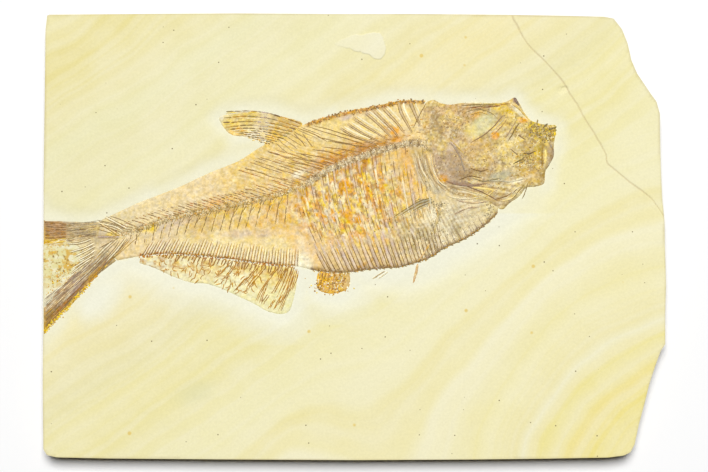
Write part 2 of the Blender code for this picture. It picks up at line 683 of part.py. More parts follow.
def build_trunk(part, helpers, bone):
    """Builds the flank with the backbone, ribs and spines that stand out of it."""
    bones = helper_collection("trunk_bones")
    backbone = smooth_path(mm(BACKBONE), 4)
    back = smooth_path(mm(BACK), 3)
    belly = smooth_path(mm(BELLY), 3)
    outline = back + mm(TAIL_ROOT)[1:-1] + belly
    trunk = plate("trunk", outline, FILM_BOTTOM, FILM_TOP, part)
    size = (BACKBONE_HALF_WIDTH, BACKBONE_HEIGHT)
    beads(backbone, VERTEBRA_COUNT, *size, BACKBONE_WAIST, bones)
    add_ribs(backbone, belly, bones)
    add_neural_spines(backbone, back, bones)
    add_haemal_spines(backbone, bones)
    add_fin_supports(belly, bones)
    add_tail_plates(bones)
    add_scutes(back, belly, bones)
    size = (BREAST_SPINE_SIZE, BREAST_SPINE_SIZE)
    ridge(mm(BREAST_SPINE), *size, bones, BREAST_SPINE_TAPER)
    combine(trunk, "UNION", collection=bones)
    for neighbour in (SKULL, PECTORAL_FIN):
        clearance = plate(
            "clearance", grown(mm(neighbour), NEIGHBOUR_GAP),
            FILM_BOTTOM - TROUGH_DEPTH, FILM_TOP + CLEARANCE_HEIGHT, helpers,
        )
        combine(trunk, "DIFFERENCE", other=clearance)
    trunk.data.materials.append(bone)
    hide_helpers(bones)


def build_skull(part, helpers, bone):
    """Builds the head: gill cover, cheek, roof, jaws and the hollow of the eye."""
    bones = helper_collection("skull_bones")
    skull = plate("skull", mm(SKULL), FILM_BOTTOM, FILM_TOP, part)
    for centre, radii, degrees in SKULL_BOSSES:
        dome(centre, radii, degrees, bones)
    for path, half_width, height in SKULL_BARS:
        smooth = smooth_path(mm(path), 2)
        ridge(smooth, half_width * MM, height * MM, bones, SKULL_BAR_TAPER)
    eye = dome(*EYE_PIT, helpers)
    for vertex in eye.data.vertices:
        vertex.co.z += KEEL_DEPTH - EYE_PIT_DEPTH
    combine(skull, "UNION", collection=bones)
    combine(skull, "DIFFERENCE", other=eye)
    skull.data.materials.append(bone)
    hide_helpers(bones)


def build_fin(name, outline, rays, part, bone):
    """Builds a fin: a thin web with its rays standing out of it."""
    bones = helper_collection(name + "_rays")
    fin = plate(name, outline, FILM_BOTTOM, FILM_TOP, part)
    for path in rays:
        ridge(path, RAY_HALF_WIDTH, RAY_HEIGHT, bones, RAY_TAPER)
    combine(fin, "UNION", collection=bones)
    fin.data.materials.append(bone)
    hide_helpers(bones)


def fan(count, first, last, bend):
    """Spreads rays evenly from the first one's root and tip to the last one's."""
    first, last = mm(first), mm(last)
    rays = []
    for i in range(count):
        share = i / (count - 1)
        root, tip = (first[end].lerp(last[end], share) for end in (0, 1))
        ray = [root, tip]
        if bend:
            place, *bulges = bend
            bulge = mm(bulges)[0].lerp(mm(bulges)[1], share)
            ray.insert(1, root.lerp(tip, place) + bulge)
        rays.append(ray)
    return rays


def anal_rays(base, margin):
    """Hangs slanting rays from the base of the anal fin, long in front, short behind."""
    rays = []
    lowest, spread, highest = ANAL_RAY_MARGIN
    for i in range(ANAL_RAY_COUNT):
        share = (i + ANAL_RAY_OFFSET) / ANAL_RAY_COUNT
        root, _ = along(base, share * ANAL_RAY_BASE)
        tip, _ = along(margin, min(lowest + share * spread, highest))
        root = root - Vector((0.0, ANAL_RAY_GAP))
        rays.append([root, root.lerp(tip, ANAL_RAY_REACHES[i % len(ANAL_RAY_REACHES)])])
    return rays


def build_fins(part, bone):
    """Builds the five fins, each beside the body with a hair of stone between."""
    build_fin("dorsal_fin", mm(DORSAL_FIN), fan(*DORSAL_RAYS), part, bone)
    rear, front = ANAL_FIN_SPAN
    belly = [p for p in smooth_path(mm(BELLY), 3) if rear < p.x < front]
    base = offset_path(belly[::-1], NEIGHBOUR_GAP)
    margin = smooth_path(mm(ANAL_FIN_MARGIN), 2)
    build_fin("anal_fin", base[::-1] + margin, anal_rays(base, margin), part, bone)
    tail_rays = fan(*UPPER_TAIL_RAYS) + fan(*LOWER_TAIL_RAYS)
    build_fin("tail_fin", mm(TAIL_FIN), tail_rays, part, bone)
    build_fin("pelvic_fin", mm(PELVIC_FIN), fan(*PELVIC_RAYS), part, bone)
    pectoral_rays = [mm(path) for path in PECTORAL_RAYS]
    build_fin("pectoral_fin", mm(PECTORAL_FIN), pectoral_rays, part, bone)


def main():
    """Clears the scene and builds the fossil."""
    for leftover in list(bpy.data.objects):
        bpy.data.objects.remove(leftover)
    part = helper_collection("fossil_fish")
    helpers = helper_collection("cutters")
    stone = material("pale_limestone", *LIMESTONE)
    bone = material("fossil_bone", *BONE)
    film = material("stained_flank", *FILM)
    build_slab(part, helpers, stone)
    build_trunk(part, helpers, film)
    build_skull(part, helpers, bone)
    build_fins(part, bone)
    make_joints()
    hide_helpers(helpers)


main()
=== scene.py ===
"""Visual model of a fossil herring-like fish in a split slab of pale laminated limestone.

The slab lies on a pale board with its fossil face up, and the camera looks straight down.
Plan places are millimetres about the middle of the slab, and become metres when a mesh is
made. Small marks are written in pixels of the photograph's frame, and from_photo() turns
them to millimetres.
"""

import logging
import math
from dataclasses import dataclass, field
from enum import Enum

import bpy
import numpy as np
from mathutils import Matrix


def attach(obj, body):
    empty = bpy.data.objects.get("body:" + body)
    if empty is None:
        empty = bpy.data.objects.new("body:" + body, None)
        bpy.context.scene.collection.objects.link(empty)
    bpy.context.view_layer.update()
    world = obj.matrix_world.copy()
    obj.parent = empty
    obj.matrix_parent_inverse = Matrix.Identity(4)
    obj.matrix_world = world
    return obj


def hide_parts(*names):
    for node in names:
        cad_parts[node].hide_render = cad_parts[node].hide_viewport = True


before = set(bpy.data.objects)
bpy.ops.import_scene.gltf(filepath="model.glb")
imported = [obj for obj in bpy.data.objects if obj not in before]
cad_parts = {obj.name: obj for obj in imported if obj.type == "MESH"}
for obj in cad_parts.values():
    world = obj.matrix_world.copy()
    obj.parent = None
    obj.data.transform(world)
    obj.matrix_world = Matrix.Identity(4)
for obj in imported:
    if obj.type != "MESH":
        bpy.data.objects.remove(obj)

logging.basicConfig(level=logging.INFO, format="%(relativeCreated)d %(message)s")
LOG = logging.getLogger("fossil")

MM = 0.001
PIXEL = 0.47
PHOTO_CENTRE = (354.4, 236.75)
FAR = 99.0
# The colours are those of a bright photograph; the surfaces reflect this share of them.
ALBEDO = 0.86

# Levels and sizes, in millimetres.
FACE = 12.0
HOLLOW_DEPTH = 0.45
FLANK_FILM = 0.35
SKULL_FILM = 0.55
FIN_FILM = 0.16
LEFT_LIMIT = -146.1

# Counts of the skeleton, as in the solids.
VERTEBRA_COUNT = 38
RIB_COUNT = 17
HAEMAL_COUNT = 18
ANAL_SUPPORT_COUNT = 36
DORSAL_SUPPORT_COUNT = 8
CHEST_SCUTE_COUNT = 16
RIBBED_SHARE = RIB_COUNT / VERTEBRA_COUNT

# Outlines in millimetres, as in the solids: the slab's edge, broken side first.
SLAB_EDGE = [
    (121.8, 102.6), (125.8, 97.5), (128.4, 91.0), (130.2, 83.0), (132.9, 76.7),
    (136.4, 71.5), (139.4, 67.0), (142.0, 63.5), (143.6, 57.7), (143.7, 47.5),
    (144.0, 33.5), (144.6, 19.2), (145.8, 7.0), (146.0, -6.0), (146.5, -22.0),
    (146.1, -35.5), (146.1, -50.5), (144.0, -53.7), (141.5, -60.5), (138.7, -69.0),
    (136.6, -77.5), (133.8, -88.0), (131.7, -97.8), (129.7, -101.4), (126.5, -102.9),
    (119.0, -103.8), (90.0, -104.3), (55.5, -104.7), (1.0, -105.0), (-55.5, -104.7),
    (-117.0, -104.2), (-140.0, -103.7), (-144.6, -102.6), (-146.2, -100.0),
    (-146.5, -70.0), (-146.4, -29.5), (-146.2, 8.0), (-145.9, 41.0), (-145.5, 69.0),
    (-145.2, 97.0), (-144.4, 104.4), (-105.5, 104.7), (-55.5, 105.0), (-11.5, 104.7),
    (31.0, 104.7), (74.0, 104.3), (96.5, 103.9), (117.5, 103.4),
]
CRACK = [
    (72.5, 108.0), (75.0, 102.0), (81.5, 90.5), (89.5, 82.5), (98.0, 73.0),
    (101.0, 67.5), (104.5, 62.5), (108.0, 56.0), (114.0, 46.5), (118.0, 39.0),
    (119.0, 34.5), (123.0, 31.0), (129.0, 26.0), (139.0, 18.5), (142.5, 14.0),
    (148.5, 5.0),
]
FLAKE = [
    (-10.0, 90.5), (-1.0, 88.0), (4.5, 86.0), (9.0, 84.0), (13.5, 84.0),
    (14.6, 88.0), (14.0, 92.5), (11.5, 96.0), (3.5, 95.5), (-4.0, 93.5),
]
TROUGH = [
    (-152.0, 14.0), (-138.0, 13.0), (-122.0, 12.5), (-106.0, 20.0), (-86.0, 28.5),
    (-69.0, 36.0), (-61.0, 43.0), (-67.0, 52.0), (-67.0, 59.0), (-55.0, 64.0),
    (-38.0, 64.0), (-24.0, 60.0), (-8.0, 64.5), (12.0, 69.0), (36.0, 69.5),
    (60.0, 68.0), (78.0, 69.5), (90.0, 59.5), (100.0, 55.5), (101.0, 42.0),
    (96.5, 26.0), (88.0, 13.0), (74.0, 3.0), (56.0, -9.0), (40.0, -20.5),
    (24.0, -26.0), (8.0, -24.5), (-3.0, -32.0), (-14.0, -32.5), (-23.0, -29.0),
    (-30.5, -40.5), (-39.0, -40.0), (-56.0, -32.5), (-72.0, -27.0), (-88.0, -23.5),
    (-103.0, -17.5), (-110.0, -19.5), (-122.0, -31.0), (-134.0, -44.0),
    (-142.0, -53.0), (-152.0, -60.0),
]
BACKBONE = [
    (34.5, 44.0), (24.0, 43.8), (14.5, 41.2), (5.0, 38.4), (-10.5, 32.1), (-23.5, 24.8),
    (-38.0, 19.2), (-54.0, 15.6), (-65.5, 13.0), (-77.5, 10.7), (-89.0, 7.9),
    (-100.0, 4.1), (-109.5, 0.8),
]
BACK = [
    (33.0, 64.5), (21.5, 64.3), (12.0, 62.3), (1.0, 60.1), (-7.0, 58.4), (-22.5, 53.7),
    (-32.0, 48.0), (-43.5, 43.0), (-54.5, 36.0), (-69.0, 30.0), (-83.0, 23.5),
    (-101.0, 16.5), (-112.0, 11.5), (-119.0, 8.3),
]
TAIL_ROOT = [(-119.0, 8.3), (-121.0, 1.0), (-119.0, -5.0), (-111.5, -11.5)]
BELLY = [
    (-111.5, -11.5), (-101.0, -9.5), (-90.5, -8.3), (-74.5, -8.9), (-59.5, -10.6),
    (-50.5, -11.8), (-38.5, -13.3), (-26.5, -14.3), (-18.0, -16.3), (-6.5, -17.3),
    (9.0, -15.6), (22.5, -14.4), (35.5, -10.3), (42.0, -6.0), (53.0, -1.0),
    (61.5, 5.0), (67.5, 10.5),
]
UNDER_SKULL = [
    (68.0, 14.0), (62.0, 18.0), (54.0, 20.0), (47.5, 21.5), (44.5, 24.0), (41.5, 28.0),
    (39.0, 33.5), (37.5, 40.5), (34.5, 47.0), (32.5, 52.0), (33.0, 58.0),
]
SKULL = [
    (32.5, 62.5), (37.0, 64.7), (40.5, 63.2), (45.0, 62.4), (50.5, 63.2), (56.5, 63.5),
    (63.5, 63.1), (71.0, 63.6), (75.3, 65.8), (78.0, 62.5), (80.5, 58.0), (84.0, 54.4),
    (91.0, 52.7), (95.0, 52.3), (94.2, 44.0), (93.7, 39.5), (92.0, 33.7), (90.0, 30.5),
    (89.5, 25.0), (85.5, 23.3), (81.0, 22.8), (78.0, 19.0), (73.0, 15.5), (69.5, 12.5),
    (63.5, 15.3), (54.5, 17.3), (47.5, 18.5), (43.5, 21.0), (39.5, 25.5), (37.0, 31.5),
    (35.5, 39.5), (32.0, 45.5), (29.5, 50.0), (30.0, 56.0),
]
DORSAL_FIN = [
    (-23.8, 53.3), (-35.0, 57.1), (-41.5, 58.5), (-52.0, 58.5), (-60.5, 57.6),
    (-64.0, 56.0), (-61.5, 51.0), (-57.5, 47.5), (-49.0, 46.6), (-42.5, 45.2),
    (-38.6, 44.6), (-31.9, 48.0),
]
ANAL_FIN_MARGIN = [
    (-26.4, -17.5), (-27.0, -23.0), (-28.4, -29.7), (-30.3, -35.0), (-33.6, -36.6),
    (-39.0, -36.0), (-43.4, -34.2), (-46.7, -32.1), (-53.8, -28.8), (-60.8, -25.5),
    (-65.5, -23.6), (-70.2, -22.4), (-77.3, -21.8), (-85.7, -18.9), (-93.7, -15.2),
    (-101.5, -12.6),
]
TAIL_FIN = [
    (-118.4, 7.6), (-124.5, 7.0), (-138.5, 7.6), (-146.0, 7.7), (-146.0, -3.5),
    (-136.5, -1.0), (-128.0, -6.0), (-127.0, -12.5), (-132.5, -17.5), (-140.0, -26.0),
    (-146.0, -33.5), (-146.0, -46.0), (-138.5, -37.5), (-131.5, -30.0), (-121.0, -18.6),
    (-111.4, -11.2), (-118.6, -4.7), (-120.4, 1.0),
]
PELVIC_FIN = [
    (-17.0, -16.4), (-9.5, -17.2), (-2.5, -16.8), (-1.8, -22.0), (-3.2, -24.8),
    (-7.0, -26.6), (-12.0, -27.0), (-16.6, -25.6), (-17.9, -22.2),
]
PECTORAL_FIN = [
    (37.0, 18.6), (32.0, 18.2), (27.5, 16.6), (23.0, 12.8), (17.8, 8.2), (21.5, 9.9),
    (26.5, 13.2), (31.5, 15.0), (36.5, 16.4),
]

Rows = np.ndarray
Colour = tuple[float, float, float, float]


class Tint(Enum):
    """The colours that bone and mineral take in this rock, as sRGB."""

    UMBER = "#967548"
    RUST = "#bb7a35"
    GOLD = "#c99634"
    OCHRE = "#dcb668"
    OLIVE = "#9c8a50"
    LILAC = "#ccb8b0"
    ASH = "#aca084"
    SOOT = "#5d5142"
    CREAM = "#f8efcb"
    AMBER = "#eaa944"
    LEMON = "#f3d24e"
    PLUM = "#957a6c"
    SAND = "#e4cb96"
    MOSS = "#e3e4b4"
    BARK = "#7f6038"
    TAUPE = "#bba27a"
    TAWNY = "#ae7a34"
    SAGE = "#c0b894"
    STRAW = "#f0d784"


def linear(code: str) -> Colour:
    """Turns an sRGB hex colour to linear light.

    Args:
        code: the colour as #rrggbb.

    Returns:
        Red, green, blue and an alpha of one.
    """
    parts = [int(code[i:i + 2], 16) / 255 for i in (1, 3, 5)]
    made = [c / 12.92 if c <= 0.04045 else ((c + 0.055) / 1.055) ** 2.4 for c in parts]
    return (made[0] * ALBEDO, made[1] * ALBEDO, made[2] * ALBEDO, 1.0)


def rgb(code: str) -> Rows:
    """Returns a hex colour as a linear array of three."""
    return np.array(linear(code)[:3])


def laid(colour: Rows, tint: "Tint", amount: Rows) -> Rows:
    """Lays a tint over painted colours by this share at each point."""
    return colour + (rgb(tint.value) - colour) * np.clip(amount, 0.0, 1.0)[:, None]


def from_photo(points: list[tuple[float, float]]) -> Rows:
    """Turns pixels of the photograph's frame to millimetres on the slab.

    Args:
        points: pairs of x to the right and y downwards.

    Returns:
        An array of millimetre pairs.
    """
    spots = np.asarray(points, float).reshape(-1, 2)
    return (spots - PHOTO_CENTRE) * (PIXEL, -PIXEL)


def spot_of(pixel: tuple[float, float]) -> Rows:
    """Turns one pixel of the photograph's frame to millimetres."""
    return from_photo([pixel])[0]


def smoothstep(low: float, high: float, value: Rows) -> Rows:
    """Rises smoothly from 0 at low to 1 at high."""
    t = np.clip((value - low) / (high - low), 0.0, 1.0)
    return t * t * (3.0 - 2.0 * t)


def smooth_path(points: list[tuple[float, float]], steps: int, closed: bool = False) -> Rows:
    """Draws a Catmull-Rom curve through the points.

    Args:
        points: the points it passes.
        steps: the steps between two of them.
        closed: whether the last point joins the first.

    Returns:
        The curve's points as rows.
    """
    p = np.asarray(points, float)
    count = len(p)
    t = np.arange(steps)[:, None] / steps
    spans = []
    for i in range(count if closed else count - 1):
        if closed:
            p0, p1, p2, p3 = (p[(i + k) % count] for k in (-1, 0, 1, 2))
        else:
            p0, p1, p2, p3 = p[max(i - 1, 0)], p[i], p[i + 1], p[min(i + 2, count - 1)]
        spans.append(0.5 * (2 * p1 + (p2 - p0) * t + (2 * p0 - 5 * p1 + 4 * p2 - p3) * t ** 2
                            + (3 * p1 - p0 - 3 * p2 + p3) * t ** 3))
    if not closed:
        spans.append(p[-1:])
    return np.vstack(spans)


def drawn(pixels: list[tuple[float, float]], steps: int = 4) -> Rows:
    """Draws a smooth line, in millimetres, through pixels of the photograph's frame."""
    return smooth_path(from_photo(pixels), steps)


def resample(path: Rows, count: int) -> Rows:
    """Reads a path at this many evenly spaced points."""
    lengths = np.r_[0.0, np.cumsum(np.hypot(*np.diff(path, axis=0).T))]
    at = np.linspace(0.0, lengths[-1], count)
    return np.column_stack([np.interp(at, lengths, path[:, k]) for k in (0, 1)])


def along(path: Rows, share: float) -> tuple[Rows, Rows]:
    """Returns the point and the direction at this share of a path's length."""
    steps = np.diff(path, axis=0)
    sizes = np.hypot(*steps.T)
    ends = np.cumsum(sizes)
    at = min(max(share, 0.0), 1.0) * ends[-1]
    i = min(int(np.searchsorted(ends, at)), len(steps) - 1)
    part = (at - (ends[i] - sizes[i])) / sizes[i]
    return path[i] + steps[i] * part, steps[i] / sizes[i]


def offset_path(path: Rows, distance: float) -> Rows:
    """Moves an open path to its left by the distance."""
    ahead = np.gradient(path, axis=0)
    ahead /= np.hypot(*ahead.T)[:, None]
    return path + np.column_stack((-ahead[:, 1], ahead[:, 0])) * distance


def turned(direction: Rows, degrees: float) -> Rows:
    """Turns a flat direction anticlockwise."""
    angle = math.radians(degrees)
    c, s = math.cos(angle), math.sin(angle)
    return np.array([direction[0] * c - direction[1] * s, direction[0] * s + direction[1] * c])


def path_gap(x: Rows, y: Rows, path: Rows) -> Rows:
    """Returns each point's distance from an open path."""
    best = np.full(x.shape, FAR ** 2)
    for (ax, ay), (bx, by) in zip(path[:-1], path[1:]):
        dx, dy = bx - ax, by - ay
        t = np.clip(((x - ax) * dx + (y - ay) * dy) / (dx * dx + dy * dy + 1e-12), 0.0, 1.0)
        np.minimum(best, (x - ax - t * dx) ** 2 + (y - ay - t * dy) ** 2, out=best)
    return np.sqrt(best)


def patch(x: Rows, y: Rows, centre: tuple[float, float], radii: tuple[float, float],
          tilt: float = 0.0, soft: float = 0.35) -> Rows:
    """Returns 1 inside a tilted ellipse and falls to 0 over its soft rim.

    Args:
        x: the points' x in millimetres.
        y: the points' y in millimetres.
        centre: the ellipse's centre in pixels of the photograph's frame.
        radii: its half length and half width in the same pixels.
        tilt: its turn anticlockwise in degrees.
        soft: the rim's share of the radius.
    """
    cx, cy = spot_of(centre)
    angle = math.radians(tilt)
    u = (x - cx) * math.cos(angle) + (y - cy) * math.sin(angle)
    v = (y - cy) * math.cos(angle) - (x - cx) * math.sin(angle)
    r = np.hypot(u / (radii[0] * PIXEL), v / (radii[1] * PIXEL))
    return 1.0 - smoothstep(1.0 - soft, 1.0 + soft, r)


class Outline:
    """A closed outline that tells how deep inside it a point lies."""

    def __init__(self, points: Rows) -> None:
        """Keeps the outline's points, the first one not repeated."""
        self.points = np.asarray(points, float)
        self.low, self.high = self.points.min(0), self.points.max(0)

    def depth(self, x: Rows, y: Rows, margin: float = 14.0) -> Rows:
        """Measures depth inside the outline.

        Args:
            x: the points' x.
            y: the points' y.
            margin: how far outside its box the distance is still measured.

        Returns:
            The distance to the outline, negative outside it.
        """
        near = ((x > self.low[0] - margin) & (x < self.high[0] + margin)
                & (y > self.low[1] - margin) & (y < self.high[1] + margin))
        px, py = x[near], y[near]
        ring = np.vstack((self.points, self.points[:1]))
        inside = np.zeros(px.shape, bool)
        for (ax, ay), (bx, by) in zip(ring[:-1], ring[1:]):
            if ay != by:
                crossing = (ay > py) != (by > py)
                inside ^= crossing & (px < ax + (py - ay) * (bx - ax) / (by - ay))
        gap = path_gap(px, py, ring)
        result = np.full(x.shape, -FAR)
        result[near] = np.where(inside, gap, -gap)
        return result

    def nearest(self, x: Rows, y: Rows) -> tuple[Rows, Rows]:
        """Returns the nearest points of the outline and its outward directions there."""
        ring = np.vstack((self.points, self.points[:1]))
        area = np.sum(ring[:-1, 0] * ring[1:, 1] - ring[1:, 0] * ring[:-1, 1])
        best = np.full(x.shape, np.inf)
        spot, out = np.zeros((len(x), 2)), np.zeros((len(x), 2))
        for a, b in zip(ring[:-1], ring[1:]):
            d = b - a
            t = np.clip(((x - a[0]) * d[0] + (y - a[1]) * d[1]) / (d @ d + 1e-12), 0.0, 1.0)
            on = a + t[:, None] * d
            gap = (x - on[:, 0]) ** 2 + (y - on[:, 1]) ** 2
            closer = gap < best
            best[closer] = gap[closer]
            spot[closer] = on[closer]
            out[closer] = np.array([d[1], -d[0]]) * np.sign(area) / math.sqrt(d @ d + 1e-12)
        return spot, out


class Grain:
    """Smooth noise over the plan that is the same in every run."""

    SIDE = 256

    def __init__(self, seed: int) -> None:
        """Fills the table of values that the noise reads."""
        self.table = np.random.default_rng(seed).random((self.SIDE, self.SIDE)) * 2.0 - 1.0

    def value(self, x: Rows, y: Rows, size: float) -> Rows:
        """Returns noise between -1 and 1 whose lumps are size millimetres wide."""
        u, v = np.asarray(x) / size, np.asarray(y) / size
        i, j = np.floor(u).astype(int), np.floor(v).astype(int)
        f, g = u - i, v - j
        f, g = f * f * (3 - 2 * f), g * g * (3 - 2 * g)
        t, n = self.table, self.SIDE
        low = t[i % n, j % n] * (1 - f) + t[(i + 1) % n, j % n] * f
        high = t[i % n, (j + 1) % n] * (1 - f) + t[(i + 1) % n, (j + 1) % n] * f
        return low * (1 - g) + high * g

    def cloud(self, x: Rows, y: Rows, size: float, octaves: int = 3) -> Rows:
        """Adds finer noise to coarse noise, each octave half as wide and half as strong."""
        total, weight = 0.0, 0.0
        for k in range(octaves):
            share = 0.5 ** k
            total = total + share * self.value(x + 37.1 * k, y - 18.7 * k, size * share)
            weight += share
        return total / weight * 1.4


def select_only(piece: bpy.types.Object) -> None:
    """Deselects everything and makes one object the selected and active one."""
    bpy.ops.object.select_all(action="DESELECT")
    piece.select_set(True)
    bpy.context.view_layer.objects.active = piece


def plan(piece: bpy.types.Object) -> tuple[Rows, Rows, Rows]:
    """Returns a mesh's x, y and z in millimetres."""
    co = np.empty(len(piece.data.vertices) * 3)
    piece.data.vertices.foreach_get("co", co)
    return tuple((co.reshape(-1, 3) / MM).T.copy())


def face_middles(piece: bpy.types.Object) -> tuple[Rows, Rows]:
    """Returns the x and y of the middles of a mesh's faces in millimetres."""
    middles = np.empty(len(piece.data.polygons) * 3)
    piece.data.polygons.foreach_get("center", middles)
    x, y, _ = middles.reshape(-1, 3).T / MM
    return x, y


def move_to(piece: bpy.types.Object, x: Rows, y: Rows, z: Rows) -> None:
    """Moves a mesh's vertices to these millimetres."""
    piece.data.vertices.foreach_set("co", (np.column_stack((x, y, z)) * MM).ravel())
    piece.data.update()


def rim_edges(piece: bpy.types.Object) -> Rows:
    """Returns which edges of a mesh have only one face."""
    mesh = piece.data
    used = np.empty(len(mesh.loops), int)
    mesh.loops.foreach_get("edge_index", used)
    return np.bincount(used, minlength=len(mesh.edges)) == 1


def rim_vertices(piece: bpy.types.Object) -> Rows:
    """Returns the indices of the vertices on the rim."""
    ends = np.empty(len(piece.data.edges) * 2, int)
    piece.data.edges.foreach_get("vertices", ends)
    return np.unique(ends.reshape(-1, 2)[rim_edges(piece)])


def pick(piece: bpy.types.Object, faces: Rows | None = None, edges: Rows | None = None) -> None:
    """Selects faces or edges of a mesh, and nothing else of it, ready for edit mode."""
    select_only(piece)
    mesh = piece.data
    mesh.vertices.foreach_set("select", np.zeros(len(mesh.vertices), bool))
    mesh.edges.foreach_set("select", np.zeros(len(mesh.edges), bool))
    mesh.polygons.foreach_set("select", np.zeros(len(mesh.polygons), bool))
    by_face = faces is not None
    bpy.context.tool_settings.mesh_select_mode = (False, not by_face, by_face)
    if by_face:
        mesh.polygons.foreach_set("select", faces)
    else:
        mesh.edges.foreach_set("select", edges)
    bpy.ops.object.mode_set(mode="EDIT")


def paint(piece: bpy.types.Object, name: str, values: Rows) -> None:
    """Stores one number, or one colour, for each vertex under this name."""
    kind = "FLOAT" if values.ndim == 1 else "FLOAT_COLOR"
    layer = piece.data.attributes.new(name, kind, "POINT")
    if values.ndim == 1:
        layer.data.foreach_set("value", values.astype(np.float32))
    else:
        full = np.column_stack((values, np.ones(len(values))))
        layer.data.foreach_set("color", full.astype(np.float32).ravel())


def cut_sheet(name: str, outline: Outline, cell: float) -> bpy.types.Object:
    """Cuts a flat grid to an outline.

    Args:
        name: the new object's name.
        outline: the edge to cut it to.
        cell: the size of one face in millimetres.

    Returns:
        The sheet at height zero, with its rim on the outline.
    """
    span = outline.high - outline.low + 2 * cell
    middle = (outline.high + outline.low) / 2 * MM
    counts = np.ceil(span / cell).astype(int)
    bpy.ops.object.select_all(action="DESELECT")
    bpy.ops.mesh.primitive_grid_add(
        x_subdivisions=int(counts[0]), y_subdivisions=int(counts[1]), size=1.0,
        location=(middle[0], middle[1], 0.0))
    sheet = bpy.context.object
    sheet.name = name
    bpy.ops.object.mode_set(mode="EDIT")
    bpy.ops.mesh.select_all(action="SELECT")
    bpy.ops.transform.resize(value=(span[0] * MM, span[1] * MM, 1.0))
    bpy.ops.object.mode_set(mode="OBJECT")
    bpy.ops.object.transform_apply(location=True, rotation=True, scale=True)
    pick(sheet, faces=outline.depth(*face_middles(sheet)) < 0.0)
    bpy.ops.mesh.delete(type="FACE")
    bpy.ops.object.mode_set(mode="OBJECT")
    x, y, z = plan(sheet)
    rim = rim_vertices(sheet)
    spots, _ = outline.nearest(x[rim], y[rim])
    x[rim], y[rim] = spots[:, 0], spots[:, 1]
    move_to(sheet, x, y, z)
    return sheet


def close_below(sheet: bpy.types.Object, floor: float) -> None:
    """Draws a sheet's rim down to a floor in millimetres and closes it there."""
    before = len(sheet.data.vertices)
    pick(sheet, edges=rim_edges(sheet))
    bpy.ops.mesh.extrude_region_move(TRANSFORM_OT_translate={"value": (0.0, 0.0, -MM)})
    bpy.ops.mesh.edge_face_add()
    bpy.ops.object.mode_set(mode="OBJECT")
    x, y, z = plan(sheet)
    z[before:] = floor
    move_to(sheet, x, y, z)


def finish_mesh(piece: bpy.types.Object, angle: float) -> None:
    """Turns a mesh's faces outwards and shades it smooth up to an angle in degrees."""
    select_only(piece)
    bpy.ops.object.mode_set(mode="EDIT")
    bpy.ops.mesh.select_all(action="SELECT")
    bpy.ops.mesh.normals_make_consistent(inside=False)
    bpy.ops.object.mode_set(mode="OBJECT")
    bpy.ops.object.shade_smooth_by_angle(angle=math.radians(angle))


def add(tree: bpy.types.NodeTree, kind: str, inputs: dict | None = None,
        stops: list | None = None, **settings: object) -> bpy.types.Node:
    """Adds a node with its settings and links.

    Args:
        tree: the material's node tree.
        kind: the node's type, without ShaderNode before it.
        inputs: values or output sockets for its inputs, by name or number.
        stops: place and hex colour of each stop, for a colour ramp.
        settings: the node's own properties.

    Returns:
        The new node.
    """
    node = tree.nodes.new("ShaderNode" + kind)
    for key, value in settings.items():
        setattr(node, key, value)
    for key, value in (inputs or {}).items():
        if isinstance(value, bpy.types.NodeSocket):
            tree.links.new(value, node.inputs[key])
        else:
            node.inputs[key].default_value = value
    for i, (place, code) in enumerate(stops or []):
        row = node.color_ramp.elements
        stop = row[i] if i < 2 else row.new(place)
        stop.position, stop.color = place, linear(code)
    return node


def new_material(name: str) -> tuple[bpy.types.Material, bpy.types.NodeTree, bpy.types.Node]:
    """Starts a material and returns it with its node tree and its shader."""
    made = bpy.data.materials.new(name)
    made.use_nodes = True
    return made, made.node_tree, made.node_tree.nodes["Principled BSDF"]


